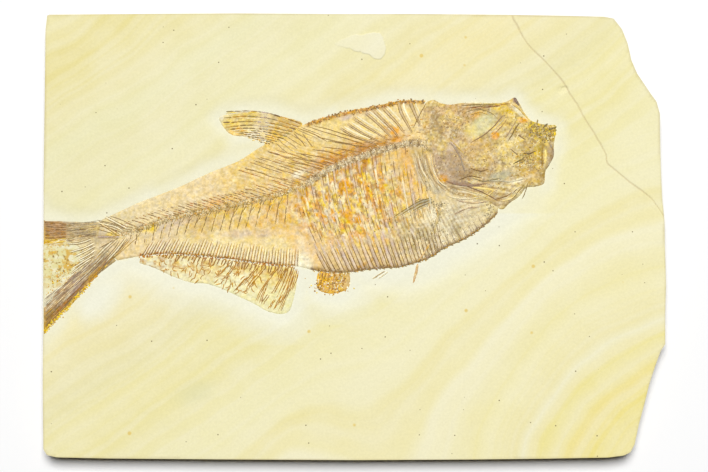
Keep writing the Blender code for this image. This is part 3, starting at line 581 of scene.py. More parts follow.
@dataclass(frozen=True)
class SplitLimestone:
    """Fine laminated lake limestone, split along its bedding: matt, chalky and faintly banded.

    Iron has stained it in rings about a point beyond the lower right corner. Farther off,
    the rings pass into straight slanting bands.
    """

    ring_centre: tuple[float, float, float] = (0.1718, -0.1284, 0.0)
    band_normal: tuple[float, float, float] = (-0.574, 0.819, 0.0)
    ring_limits: tuple[float, float] = (0.1175, 0.2115)
    reach: float = 0.40
    roughness: float = 0.88

    def make(self) -> bpy.types.Material:
        """Builds the material's nodes."""
        made, tree, shader = new_material("split laminated limestone, iron-banded")
        place = add(tree, "TexCoord").outputs["Object"]
        colour = self.bands(tree, place)
        colour = self.marks(tree, place, colour)
        grain = add(tree, "TexNoise", {
            "Vector": place, "Scale": 900.0, "Detail": 3.0, "Roughness": 0.7})
        shade = add(tree, "MapRange", {
            "Value": grain.outputs["Fac"], "From Min": 0.3, "From Max": 0.7,
            "To Min": 0.955, "To Max": 1.035})
        final = add(tree, "HueSaturation", {
            "Color": colour, "Value": shade.outputs["Result"]})
        tree.links.new(final.outputs["Color"], shader.inputs["Base Color"])
        shader.inputs["Roughness"].default_value = self.roughness
        shader.inputs["Specular IOR Level"].default_value = 0.2
        # Chalky tooth of about 1 mm, the finest that shows from above.
        bump = add(tree, "Bump", {
            "Height": grain.outputs["Fac"], "Strength": 0.25, "Distance": 0.0002})
        tree.links.new(bump.outputs["Normal"], shader.inputs["Normal"])
        return made

    def bands(self, tree: bpy.types.NodeTree, place: bpy.types.NodeSocket) -> bpy.types.NodeSocket:
        """Colours the stone by its iron bands.

        Args:
            tree: the material's node tree.
            place: the object coordinates.

        Returns:
            The socket of the banded colour.
        """
        away = add(tree, "VectorMath", {0: place, 1: self.ring_centre},
                   operation="SUBTRACT")
        away = add(tree, "VectorMath", {0: away.outputs[0], 1: (1.0, 1.0, 0.0)},
                   operation="MULTIPLY")
        # Slow wander of the bands, some 4 mm over 50 mm.
        wander = add(tree, "TexNoise", {"Vector": place, "Scale": 20.0, "Detail": 2.0})
        drift = add(tree, "MapRange", {
            "Value": wander.outputs["Fac"], "To Min": -0.007, "To Max": 0.007})
        radius = add(tree, "VectorMath", {0: away.outputs[0]}, operation="LENGTH")
        straight = add(tree, "VectorMath",
                       {0: away.outputs[0], 1: self.band_normal}, operation="DOT_PRODUCT")
        turn = add(tree, "MapRange", {
            "Value": radius.outputs["Value"], "From Min": self.ring_limits[0],
            "From Max": self.ring_limits[1]}, interpolation_type="SMOOTHSTEP")
        level = add(tree, "Mix", {
            0: turn.outputs["Result"], 2: radius.outputs["Value"], 3: straight.outputs["Value"]})
        level = add(tree, "Math", {0: level.outputs[0], 1: drift.outputs["Result"]},
                    operation="ADD")
        share = add(tree, "Math", {0: level.outputs[0], 1: self.reach},
                    operation="DIVIDE")
        # Share of the reach and colour of each band. The photograph's mean colours were
        # measured ring by ring about the same centre.
        stops = [
            (0.0, "#f2e6a0"), (0.12, "#f3e69c"), (0.16, "#f2e48e"), (0.183, "#f3e390"),
            (0.20, "#f2e7a4"), (0.218, "#f1e69c"), (0.228, "#f2e7aa"), (0.237, "#f4efca"),
            (0.248, "#f0e6ac"), (0.285, "#f4ecb8"), (0.303, "#f1e8ae"), (0.338, "#f6f0ca"),
            (0.35, "#f2e9b2"), (0.372, "#f0e6aa"), (0.38, "#f3ecbc"), (0.42, "#f2ebb8"),
            (0.47, "#efe6aa"), (0.515, "#f0e7ac"), (0.5375, "#ece4b0"), (0.618, "#f2e6ac"),
            (0.66, "#ede3aa"), (0.72, "#eee8b8"), (0.76, "#ece5b4"), (0.785, "#ece7b8"),
            (0.82, "#ebe2aa"), (0.884, "#e9dd98"), (0.93, "#ebe1a4"), (1.0, "#e9dd98"),
        ]
        ramp = add(tree, "ValToRGB", {"Fac": share.outputs[0]}, stops=stops)
        # Thin bands some 5 mm apart run along the broad ones.
        fine = add(tree, "Math", {0: level.outputs[0], 1: 190.0}, operation="MULTIPLY")
        thin = add(tree, "TexNoise", {
            "W": fine.outputs[0], "Scale": 1.0, "Detail": 3.0}, noise_dimensions="1D")
        cloudy = add(tree, "TexNoise", {"Vector": place, "Scale": 45.0, "Detail": 4.0})
        both = add(tree, "Math", {
            0: thin.outputs["Fac"], 1: cloudy.outputs["Fac"]}, operation="ADD")
        amount = add(tree, "MapRange", {
            "Value": both.outputs[0], "From Min": 0.75, "From Max": 1.25,
            "To Min": 0.0, "To Max": 0.45})
        pale = add(tree, "Mix", {
            0: amount.outputs["Result"], 6: ramp.outputs["Color"], 7: linear("#f6f1d2")},
            data_type="RGBA")
        return pale.outputs[2]

    def marks(self, tree: bpy.types.NodeTree, place: bpy.types.NodeSocket,
              colour: bpy.types.NodeSocket) -> bpy.types.NodeSocket:
        """Lays the prepared ground, the crack, the edges and the specks over the bands.

        Args:
            tree: the material's node tree.
            place: the object coordinates.
            colour: the banded colour.

        Returns:
            The socket of the colour with its marks.
        """
        layers = [
            ("scraped", "#f3f0d4"), ("chalky", "#f3f3e2"), ("flake", "#f6f3de"),
            ("smudge", "#dcdcb4"), ("edge", "#b9a878"), ("crack", "#c2ad84"),
        ]
        for name, code in layers:
            mask = add(tree, "Attribute", attribute_name=name)
            mixed = add(tree, "Mix", {
                0: mask.outputs["Fac"], 6: colour, 7: linear(code)}, data_type="RGBA")
            colour = mixed.outputs[2]
        # Golden scraps of skin and rays, 1 to 3 mm across, lie on the stone in the tail's fork.
        mask = add(tree, "Attribute", attribute_name="shreds")
        for scale, low, code in ((170.0, 0.42, "#e6dc9c"), (330.0, 0.5, "#dcb24c"),
                                 (620.0, 0.58, "#a8843e")):
            scraps = add(tree, "TexNoise", {
                "Vector": place, "Scale": scale, "Detail": 3.0, "Roughness": 0.6})
            shown = add(tree, "MapRange", {
                "Value": scraps.outputs["Fac"], "From Min": low, "From Max": low + 0.1,
                "To Max": 0.9})
            shown = add(tree, "Math", {
                0: shown.outputs["Result"], 1: mask.outputs["Fac"]}, operation="MULTIPLY")
            mixed = add(tree, "Mix", {
                0: shown.outputs[0], 6: colour, 7: linear(code)}, data_type="RGBA")
            colour = mixed.outputs[2]
        # Beds of about two thirds of a millimetre show as lines on the sawn and broken sides.
        axes = add(tree, "SeparateXYZ", {0: place})
        bed = add(tree, "Math", {0: axes.outputs["Z"], 1: 1500.0},
                  operation="MULTIPLY")
        beds = add(tree, "TexNoise", {
            "W": bed.outputs[0], "Scale": 1.0, "Detail": 2.0}, noise_dimensions="1D")
        edge = add(tree, "Attribute", attribute_name="edge")
        line = add(tree, "MapRange", {
            "Value": beds.outputs["Fac"], "From Min": 0.45, "From Max": 0.7})
        line = add(tree, "Math", {
            0: line.outputs["Result"], 1: edge.outputs["Fac"]}, operation="MULTIPLY")
        mixed = add(tree, "Mix", {
            0: line.outputs[0], 6: colour, 7: linear("#a8915f")}, data_type="RGBA")
        colour = mixed.outputs[2]
        # Pepper of iron and carbon, 0.5 to 0.9 mm across, and rarer yellow spots of 1 to 2 mm.
        for scale, size, share, code in (
                (190.0, 0.045, 0.66, "#6f5d3e"), (95.0, 0.06, 0.86, "#e8cc74")):
            cells = add(tree, "TexVoronoi", {"Vector": place, "Scale": scale})
            chosen = add(tree, "SeparateXYZ", {0: cells.outputs["Color"]})
            rare = add(tree, "Math", {0: chosen.outputs["X"], 1: share},
                       operation="GREATER_THAN")
            spot = add(tree, "MapRange", {
                "Value": cells.outputs["Distance"], "From Min": size, "From Max": size * 1.8,
                "To Min": 0.85, "To Max": 0.0})
            spot = add(tree, "Math", {
                0: spot.outputs["Result"], 1: rare.outputs[0]}, operation="MULTIPLY")
            mixed = add(tree, "Mix", {
                0: spot.outputs[0], 6: colour, 7: linear(code)}, data_type="RGBA")
            colour = mixed.outputs[2]
        return colour


@dataclass(frozen=True)
class MineralFinish:
    """Bone and body film turned to mineral, prepared with a needle: granular, with a low sheen."""

    name: str
    speckle: float
    contrast: float
    roughness: float
    tooth: float

    def make(self) -> bpy.types.Material:
        """Builds the material's nodes over the colours painted on the mesh."""
        made, tree, shader = new_material(self.name)
        place = add(tree, "TexCoord").outputs["Object"]
        stain = add(tree, "Attribute", attribute_name="stain")
        # Mineral grains are finer than a pixel, and are drawn 0.8 to 1 mm wide so that they show.
        grain = add(tree, "TexNoise", {
            "Vector": place, "Scale": self.speckle, "Detail": 3.0, "Roughness": 0.75})
        shade = add(tree, "MapRange", {
            "Value": grain.outputs["Fac"], "From Min": 0.32, "From Max": 0.68,
            "To Min": 1.04 - self.contrast, "To Max": 1.04 + self.contrast})
        other = add(tree, "TexNoise", {
            "Vector": place, "Scale": self.speckle * 0.55, "Detail": 2.0, "W": 3.0},
            noise_dimensions="4D")
        rich = add(tree, "MapRange", {
            "Value": other.outputs["Fac"], "From Min": 0.3, "From Max": 0.7,
            "To Min": 0.84, "To Max": 1.2})
        final = add(tree, "HueSaturation", {
            "Color": stain.outputs["Color"], "Value": shade.outputs["Result"],
            "Saturation": rich.outputs["Result"]})
        tree.links.new(final.outputs["Color"], shader.inputs["Base Color"])
        gloss = add(tree, "MapRange", {
            "Value": other.outputs["Fac"], "To Min": self.roughness - 0.12,
            "To Max": self.roughness + 0.12})
        tree.links.new(gloss.outputs["Result"], shader.inputs["Roughness"])
        shader.inputs["Specular IOR Level"].default_value = 0.3
        bump = add(tree, "Bump", {
            "Height": grain.outputs["Fac"], "Strength": self.tooth, "Distance": 0.0003})
        tree.links.new(bump.outputs["Normal"], shader.inputs["Normal"])
        return made


@dataclass(frozen=True)
class PaintedBoard:
    """White matt paint on board, faintly uneven, the studio's table."""

    def make(self) -> bpy.types.Material:
        """Builds the material's nodes."""
        made, tree, shader = new_material("white matt board")
        place = add(tree, "TexCoord").outputs["Object"]
        cloud = add(tree, "TexNoise", {"Vector": place, "Scale": 6.0})
        ramp = add(tree, "ValToRGB", {"Fac": cloud.outputs["Fac"]},
                   stops=[(0.0, "#fcfcfc"), (1.0, "#ffffff")])
        tree.links.new(ramp.outputs["Color"], shader.inputs["Base Color"])
        shader.inputs["Roughness"].default_value = 0.95
        shader.inputs["Specular IOR Level"].default_value = 0.0
        return made


class Relief:
    """Heights, in millimetres, of the rock's face and of the fossil that lies on it."""

    # Centre and half widths in pixels, tilt, and height in millimetres, of the skull's swellings.
    DOMES = [
        ((447, 168), (19, 22), 0, 0.55), ((482, 164), (20, 17), 10, 0.35),
        ((487, 107), (27, 6), 2, 0.35), ((542, 131), (14, 11), -20, 0.5),
        ((534, 163), (14, 15), 0, 0.3), ((500, 191), (26, 9), 8, 0.3),
        ((480, 126), (17, 11), 38, -0.55),
    ]
    # Where the ribs end along the belly: the front one, and how far on the last one does.
    RIB_FOOT, RIB_FEET_SPAN = 0.835, 0.31
    RIB_KNEE = (0.15, 0.45)
    RIB_SPACING = 3.8
    # Corners and spacing, in millimetres, of the lattice that heights are read on.
    LATTICE = ((-150.0, -58.0), (100.0, 74.0))
    STEP = 0.4

    def __init__(self) -> None:
        """Draws the outlines that the heights follow."""
        self.grain = Grain(11)
        self.trough = Outline(smooth_path(TROUGH, 4, closed=True))
        self.backbone = smooth_path(BACKBONE, 6)
        self.back = smooth_path(BACK, 5)
        self.belly = smooth_path(BELLY, 5)
        self.trunk = Outline(np.vstack((
            self.back, TAIL_ROOT[1:-1], self.belly, UNDER_SKULL)))
        self.skull = Outline(smooth_path(SKULL, 4, closed=True))
        base = offset_path(self.belly, -0.1)
        base = base[(base[:, 0] > -101.5) & (base[:, 0] < -27.0)]
        self.anal_base = base[::-1]
        self.anal_margin = smooth_path(ANAL_FIN_MARGIN, 4)
        self.fins = {
            "dorsal_fin": Outline(smooth_path(DORSAL_FIN, 4, closed=True)),
            "anal_fin": Outline(np.vstack((base, self.anal_margin))),
            "tail_fin": Outline(smooth_path(TAIL_FIN, 1, closed=True)),
            "pelvic_fin": Outline(smooth_path(PELVIC_FIN, 4, closed=True)),
            "pectoral_fin": Outline(smooth_path(PECTORAL_FIN, 3, closed=True)),
        }
        self.rib_paths = [self.rib(i) for i in range(RIB_COUNT)]
        self.survey()

    def lattice(self) -> tuple[Rows, Rows]:
        """Returns the x and y of the lattice's points, row by row."""
        low, high = self.LATTICE
        gx, gy = np.meshgrid(np.arange(low[0], high[0], self.STEP),
                             np.arange(low[1], high[1], self.STEP), indexing="ij")
        return gx.ravel(), gy.ravel()

    def survey(self) -> None:
        """Reads the heights on a lattice once, because every bone asks for them."""
        gx, gy = self.lattice()
        rows = len(np.arange(self.LATTICE[0][0], self.LATTICE[1][0], self.STEP))
        self.heights = (self.rock(gx, gy) + self.film(gx, gy)).reshape(rows, -1)
        self.stains = np.ones((*self.heights.shape, 3))

    def rib(self, i: int) -> Rows:
        """Returns the line of one rib from the backbone to the belly, the front one first."""
        root, _ = along(self.backbone, RIBBED_SHARE * (i + 0.5) / RIB_COUNT)
        tip, _ = along(self.belly, self.RIB_FOOT - self.RIB_FEET_SPAN * (i + 0.5) / RIB_COUNT)
        tip = tip + (0.0, 1.0)
        knee = root + (tip - root) * self.RIB_KNEE
        t = np.linspace(0.0, 1.0, 14)[:, None]
        return root * (1 - t) ** 2 + knee * 2 * t * (1 - t) + tip * t * t

    def rib_row(self, x: Rows, y: Rows) -> Rows:
        """Returns how far along the row of ribs a point lies, in ribs from the front one."""
        lines = [np.interp(-y, -path[:, 1], path[:, 0]) for path in self.rib_paths]
        gaps = [np.clip((ahead - x) / np.maximum(ahead - behind, 0.5), 0.0, 1.0)
                for ahead, behind in zip(lines[:-1], lines[1:])]
        ahead = np.maximum(x - lines[0], 0.0)
        behind = np.maximum(lines[-1] - x, 0.0)
        return sum(gaps) + behind / self.RIB_SPACING - ahead / self.RIB_SPACING

    def scraped(self, x: Rows, y: Rows) -> Rows:
        """Returns how fully the matrix has been scraped away round the fish."""
        ragged = self.grain.cloud(x, y, 9.0) * 1.6
        return smoothstep(-3.2, 4.2, self.trough.depth(x, y) + ragged)

    def rock(self, x: Rows, y: Rows) -> Rows:
        """Returns the height of the stone's face."""
        swell = 0.12 * self.grain.cloud(x, y, 34.0, 2) + 0.05 * self.grain.cloud(x, y, 5.0)
        scrapes = 0.035 * np.sin(self.trough.depth(x, y) * 3.4 + 2.0 * self.grain.value(x, y, 8.0))
        hollow = self.scraped(x, y)
        return FACE + swell - HOLLOW_DEPTH * hollow + scrapes * hollow

    def film(self, x: Rows, y: Rows) -> Rows:
        """Returns how high flank, skull and fins stand above the stone."""
        flank = smoothstep(0.0, 1.3, self.trunk.depth(x, y))
        column = np.exp(-(path_gap(x, y, self.backbone) / 3.2) ** 2)
        height = flank * (FLANK_FILM + 0.25 * column)
        for outline in self.fins.values():
            height = np.maximum(height, FIN_FILM * smoothstep(0.0, 0.8, outline.depth(x, y)))
        inside = smoothstep(0.0, 1.4, self.skull.depth(x, y))
        crown = SKULL_FILM + sum(
            high * patch(x, y, centre, radii, tilt, 0.6)
            for centre, radii, tilt, high in self.DOMES)
        return np.maximum(height, inside * crown)

    def top(self, x: Rows, y: Rows) -> Rows:
        """Returns the height of whatever lies uppermost, bones left out."""
        return self.read(self.heights[..., None], x, y)[:, 0]

    def read(self, table: Rows, x: Rows, y: Rows) -> Rows:
        """Reads a table that is kept on the lattice between its points."""
        rows, columns = self.heights.shape
        u = np.clip((x - self.LATTICE[0][0]) / self.STEP, 0.0, rows - 1.001)
        v = np.clip((y - self.LATTICE[0][1]) / self.STEP, 0.0, columns - 1.001)
        i, j = u.astype(int), v.astype(int)
        f, g, t = (u - i)[:, None], (v - j)[:, None], table
        low = t[i, j] * (1 - f) + t[i + 1, j] * f
        high = t[i, j + 1] * (1 - f) + t[i + 1, j + 1] * f
        return low * (1 - g) + high * g


@dataclass
class Slab:
    """The split slab: sawn on three sides, broken on the right, cracked and flaked."""

    relief: Relief
    cell: float = 1.05
    rings: int = 10
    crack_half_width: float = 0.27
    crack_depth: float = 0.28
    flake_height: float = 0.3
    broken_step: float = 1.7
    trimmed_step: float = 0.25
    grain: Grain = field(default_factory=lambda: Grain(5))

    def build(self) -> bpy.types.Object:
        """Builds the slab and returns it."""
        outline = Outline(SLAB_EDGE)
        slab = cut_sheet("slab_stone", outline, self.cell)
        self.refine(slab)
        self.draw_walls(slab)
        self.shape(slab, outline)
        finish_mesh(slab, 38.0)
        return slab

    def refine(self, slab: bpy.types.Object) -> None:
        """Cuts the faces along the crack and the flake's edge into smaller ones."""
        x, y = face_middles(slab)
        crack = path_gap(x, y, smooth_path(CRACK, 4)) < 2.0
        edge = np.abs(Outline(smooth_path(FLAKE, 3, closed=True)).depth(x, y)) < 1.6
        pick(slab, faces=crack | edge)
        bpy.ops.mesh.subdivide(number_cuts=3)
        bpy.ops.object.mode_set(mode="OBJECT")

    def draw_walls(self, slab: bpy.types.Object) -> None:
        """Draws the rim down ring by ring and closes the underside."""
        pick(slab, edges=rim_edges(slab))
        for _ in range(self.rings):
            bpy.ops.mesh.extrude_region_move(
                TRANSFORM_OT_translate={"value": (0.0, 0.0, -FACE * MM / self.rings)})
        bpy.ops.mesh.edge_face_add()
        bpy.ops.object.mode_set(mode="OBJECT")

    def crack(self, x: Rows, y: Rows) -> Rows:
        """Returns how deep in the crack a point lies, from 0 to 1."""
        wobble = self.grain.cloud(x, y, 3.0) * 0.5
        gap = path_gap(x + wobble, y - wobble, smooth_path(CRACK, 4))
        width = self.crack_half_width * (1.0 + 0.5 * self.grain.value(x, y, 11.0))
        return np.exp(-(gap / width) ** 2)

    def flake(self, x: Rows, y: Rows) -> Rows:
        """Returns how much of the flake's height stands: feathered to the upper left."""
        depth = Outline(smooth_path(FLAKE, 3, closed=True)).depth(x, y)
        depth = depth + self.grain.cloud(x, y, 3.5) * 0.7
        sheer = smoothstep(0.0, 0.5, depth)
        feather = smoothstep(-14.0, 6.0, x - 0.6 * (y - 88.0))
        return sheer * (0.25 + 0.75 * feather)

    def shape(self, slab: bpy.types.Object, outline: Outline) -> None:
        """Gives the face its relief, the walls their beds, and paints the marks."""
        x, y, z = plan(slab)
        wall = z < -0.01
        level = np.clip(-z / FACE, 0.0, 1.0)
        fish = np.maximum.reduce(
            [o.depth(x, y) for o in (self.relief.trunk, self.relief.skull,
                                     *self.relief.fins.values())])
        crack, flake = self.crack(x, y), self.flake(x, y)
        face = self.relief.rock(x, y) - 0.4 * smoothstep(0.3, 1.8, fish)
        face += self.flake_height * flake - self.crack_depth * crack * ~wall
        chip = patch(x, y, (563, 90), (5, 3), 30)
        face -= 0.5 * chip
        rim = np.nonzero(wall)[0]
        spots, out = outline.nearest(x[rim], y[rim])
        broken = smoothstep(112.0, 124.0, x[rim])
        run = spots[:, 1] * 0.9 + spots[:, 0] * 0.6
        beds = 0.5 + 0.5 * self.grain.value(run, level[rim] * 40.0, 2.6)
        steps = 0.5 + 0.5 * self.grain.value(run / 5.0, np.floor(level[rim] * 5.0) * 7.3, 1.7)
        size = self.trimmed_step + (self.broken_step - self.trimmed_step) * broken
        inward = size * (0.45 * beds + 0.55 * steps) * np.minimum(1.0, 0.35 + level[rim] * 2.0)
        x[rim] = spots[:, 0] - out[:, 0] * inward
        y[rim] = spots[:, 1] - out[:, 1] * inward
        z = np.where(wall, face * (1.0 - level), face)
        z[level > 0.999] = 0.0
        move_to(slab, x, y, z)
        near_rim = smoothstep(0.8, 0.0, outline.depth(x, y))
        halo = self.relief.scraped(x, y) * 0.55 + 0.45 * smoothstep(-7.0, -0.6, fish)
        halo = halo * (0.8 + 0.2 * self.grain.cloud(x, y, 6.0))
        halo = np.maximum(halo, 0.85 * patch(x, y, (101, 300), (28, 15), 48, 0.5))
        paint(slab, "scraped", np.clip(halo, 0.0, 1.0) * ~wall)
        below = y < np.interp(x, *np.array(BELLY).T)
        chalky = 0.6 * smoothstep(-20.0, -3.0, fish) * below * (x > -120.0)
        chalky = np.maximum(chalky, 0.6 * patch(x, y, (96, 296), (24, 13), 48, 0.5))
        paint(slab, "chalky", np.clip(chalky, 0.0, 1.0) * ~wall)
        paint(slab, "flake", np.clip(flake, 0.0, 1.0) * 0.5 * ~wall)
        paint(slab, "smudge", patch(x, y, (195, 393), (17, 9), 20, 0.9) * 0.4)
        paint(slab, "edge", np.where(wall, 0.9, 0.25 * near_rim))
        paint(slab, "crack", np.clip(crack * 1.2, 0.0, 1.0) * 0.5)
        fork = patch(x, y, (60, 262), (25, 24), 40, 0.5) * (x < -118.0)
        paint(slab, "shreds", np.clip(fork, 0.0, 1.0) * ~wall)


class Stamp:
    """A small solid that is modelled once and copied for each bone or grain."""

    def __init__(self, blank: bpy.types.Object) -> None:
        """Takes the blank's vertices and faces and removes the blank."""
        mesh = blank.data
        co = np.empty(len(mesh.vertices) * 3)
        mesh.vertices.foreach_get("co", co)
        self.vertices = co.reshape(-1, 3)
        self.faces = [tuple(p.vertices) for p in mesh.polygons]
        bpy.data.objects.remove(blank)

    @classmethod
    def bar(cls, sides: int, stations: int) -> "Stamp":
        """Models a closed bar along x from 0 to 1 with rings at the stations."""
        bpy.ops.object.select_all(action="DESELECT")
        bpy.ops.mesh.primitive_cylinder_add(
            vertices=sides, radius=1.0, depth=1.0, location=(0.5, 0.0, 0.0),
            rotation=(0.0, math.pi / 2, 0.0))
        blank = bpy.context.object
        bpy.ops.object.transform_apply(location=True, rotation=True, scale=True)
        bpy.ops.object.mode_set(mode="EDIT")
        for k in range(1, stations):
            bpy.ops.mesh.select_all(action="SELECT")
            bpy.ops.mesh.bisect(plane_co=(k / stations, 0.0, 0.0), plane_no=(1.0, 0.0, 0.0))
        bpy.ops.mesh.select_all(action="SELECT")
        bpy.ops.mesh.normals_make_consistent(inside=False)
        bpy.ops.object.mode_set(mode="OBJECT")
        return cls(blank)

    @classmethod
    def crumb(cls) -> "Stamp":
        """Models a grain of twenty faces, squeezed flat."""
        bpy.ops.object.select_all(action="DESELECT")
        bpy.ops.mesh.primitive_ico_sphere_add(subdivisions=1, radius=1.0)
        blank = bpy.context.object
        bpy.ops.object.mode_set(mode="EDIT")
        bpy.ops.mesh.select_all(action="SELECT")
        bpy.ops.transform.resize(value=(1.0, 1.0, 0.6))
        bpy.ops.object.mode_set(mode="OBJECT")
        return cls(blank)


class Bones:
    """Gathers bars and grains that are laid on the fossil into one piece."""

    def __init__(self, name: str, relief: Relief, tools: "Tools", seed: int) -> None:
        """Starts an empty gathering."""
        self.name, self.relief, self.tools = name, relief, tools
        self.rng = np.random.default_rng(seed)
        self.vertices: list[Rows] = []
        self.faces: list[tuple[int, ...]] = []
        self.colours: list[Rows] = []
        self.count = 0

    def put(self, stamp: Stamp, vertices: Rows, colours: Rows) -> None:
        """Adds one copy of a stamp with its vertices in millimetres and its colours."""
        self.faces += [tuple(v + self.count for v in face) for face in stamp.faces]
        vertices[:, 0] = np.maximum(vertices[:, 0], LEFT_LIMIT)
        self.vertices.append(vertices)
        self.colours.append(colours)
        self.count += len(vertices)

    def bar(self, path: Rows, width: float, height: float, tints: list[Tint],
            ends: tuple[float, float] = (0.7, 0.5), wobble: float = 0.12,
            short: bool = False, blend: float = 0.25) -> None:
        """Lays one bone along a path.

        Args:
            path: its middle line in millimetres.
            width: its half width.
            height: how high it stands.
            tints: one or two tints, mixed along it.
            ends: its relative width at its two ends.
            wobble: how far its line wanders.
            short: whether the stubby blank with few faces is used.
            blend: the share of its colour that it takes from what it lies on.
        """
        stamp = self.tools.short_bar if short else self.tools.long_bar
        t = stamp.vertices[:, 0]
        spots = resample(np.asarray(path, float), 24)
        at = np.linspace(0.0, 1.0, 24)
        ahead = np.gradient(spots, axis=0)
        ahead /= np.hypot(*ahead.T)[:, None] + 1e-9
        px, py = np.interp(t, at, spots[:, 0]), np.interp(t, at, spots[:, 1])
        ax, ay = np.interp(t, at, ahead[:, 0]), np.interp(t, at, ahead[:, 1])
        phase = self.rng.uniform(0, 99)
        sway = self.relief.grain.value(t * 9.0 + phase, 0 * t + phase, 1.6) * wobble
        taper = np.interp(t, [0, 0.12, 0.88, 1], [ends[0] * 0.5, 1, 1, ends[1] * 0.5])
        taper = taper * np.interp(t, [0, 0.5, 1], [ends[0] ** 0.5, 1, ends[1] ** 0.5])
        rough = 1.0 + 0.22 * self.relief.grain.value(t * 14.0 + phase, 7.0 + 0 * t, 1.0)
        side = stamp.vertices[:, 1] * width * taper * rough + sway
        x, y = px - ay * side, py + ax * side
        base = self.relief.top(px, py)
        z = base + (stamp.vertices[:, 2] * 0.9 - 0.1) * height * taper
        mix = 0.5 + 0.5 * self.relief.grain.value(t * 11.0 + phase, 3.0 + 0 * t, 1.3)
        first, second = rgb(tints[0].value), rgb(tints[-1].value)
        # Each bone's tone differs at random, and the upper side of every bone is painted 12%
        # lighter: painted light from above.
        shade = 1.0 + self.rng.uniform(-0.16, 0.16) + 0.12 * (stamp.vertices[:, 2] > 0.2)
        colour = (first + (second - first) * mix[:, None]) * shade[:, None]
        colour += (self.relief.read(self.relief.stains, px, py) - colour) * blend
        self.put(stamp, np.column_stack((x, y, z)), colour)

    def broken(self, path: Rows, width: float, height: float, tints: list[Tint],
               pieces: int, kept: float = 0.9, blend: float = 0.25) -> None:
        """Lays a ray or bone as short joints, some of them lost.

        Args:
            path: its middle line in millimetres.
            width: its half width.
            height: how high it stands.
            tints: the tints that its joints are drawn from.
            pieces: the number of joints.
            kept: the share of joints that is still there.
            blend: the share of their colour that they take from what they lie on.
        """
        spots = resample(np.asarray(path, float), pieces * 4 + 1)
        for k in range(pieces):
            if self.rng.random() > kept:
                continue
            part = spots[k * 4:k * 4 + 5] + self.rng.normal(0.0, 0.10, 2)
            chosen = [tints[i] for i in self.rng.integers(0, len(tints), 2)]
            self.bar(part, width * self.rng.uniform(0.75, 1.2), height, chosen,
                     (0.9, 0.9), 0.08, short=True, blend=blend)

    def outlined(self, path: Rows, width: float, tint: Tint, edge: Tint, taper: float = 0.7,
                 rim: float = 0.17) -> None:
        """Lays a broad bone with a thin dark line along both of its sides.

        Args:
            path: its middle line in millimetres.
            width: its half width where it starts.
            tint: its own colour.
            edge: the colour of the two lines.
            taper: its width at its end as a share of the width at its start.
            rim: the half width of the lines.
        """
        spots = resample(np.asarray(path, float), 24)
        across = (offset_path(spots, width) - spots) * np.linspace(1.0, taper, 24)[:, None]
        for side in (-1.0, 1.0):
            self.bar(spots + across * side, rim, 0.36, [edge, Tint.UMBER], (0.7, 0.4), 0.08,
                     blend=0.15)
        self.bar(spots, width * 0.72, 0.32, [tint, tint], (1.0, taper), 0.08, blend=0.3)

    def crumbs(self, spots: Rows, size: tuple[float, float], tints: list[Tint],
               lift: float = 0.05, blend: float = 0.3) -> None:
        """Scatters grains of bone on the spots.

        Args:
            spots: the grains' places in millimetres.
            size: the smallest and largest half width.
            tints: the tints that they are drawn from.
            lift: how far they stand above what they lie on.
            blend: the share of their colour that they take from it.
        """
        stamp = self.tools.crumb
        grounds = self.relief.read(self.relief.stains, spots[:, 0], spots[:, 1])
        heights = self.relief.top(spots[:, 0], spots[:, 1])
        shades = np.array([rgb(t.value) for t in tints])
        for (x, y), z, ground in zip(spots, heights, grounds):
            radii = self.rng.uniform(*size, 3) * (1.0, 1.0, 0.55)
            turn = self.rng.uniform(0.0, math.tau)
            c, s = math.cos(turn), math.sin(turn)
            v = stamp.vertices * radii
            rows = np.column_stack((x + v[:, 0] * c - v[:, 1] * s,
                                    y + v[:, 0] * s + v[:, 1] * c, z + lift + v[:, 2]))
            colour = shades[self.rng.integers(len(shades))] * self.rng.uniform(0.85, 1.15)
            colour = colour + (ground - colour) * blend
            self.put(stamp, rows, np.tile(colour, (len(rows), 1)))

    def build(self) -> bpy.types.Object:
        """Fuses what was gathered into one object and returns it."""
        mesh = bpy.data.meshes.new(self.name)
        mesh.from_pydata((np.vstack(self.vertices) * MM).tolist(), [], self.faces)
        piece = bpy.data.objects.new(self.name, mesh)
        bpy.context.collection.objects.link(piece)
        paint(piece, "stain", np.clip(np.vstack(self.colours), 0.0, 1.0))
        finish_mesh(piece, 50.0)
        return piece


@dataclass
class Tools:
    """The blanks that every bone is copied from, and the finishes."""

    long_bar: Stamp
    short_bar: Stamp
    crumb: Stamp
    stone: bpy.types.Material
    film: bpy.types.Material
    bone: bpy.types.Material


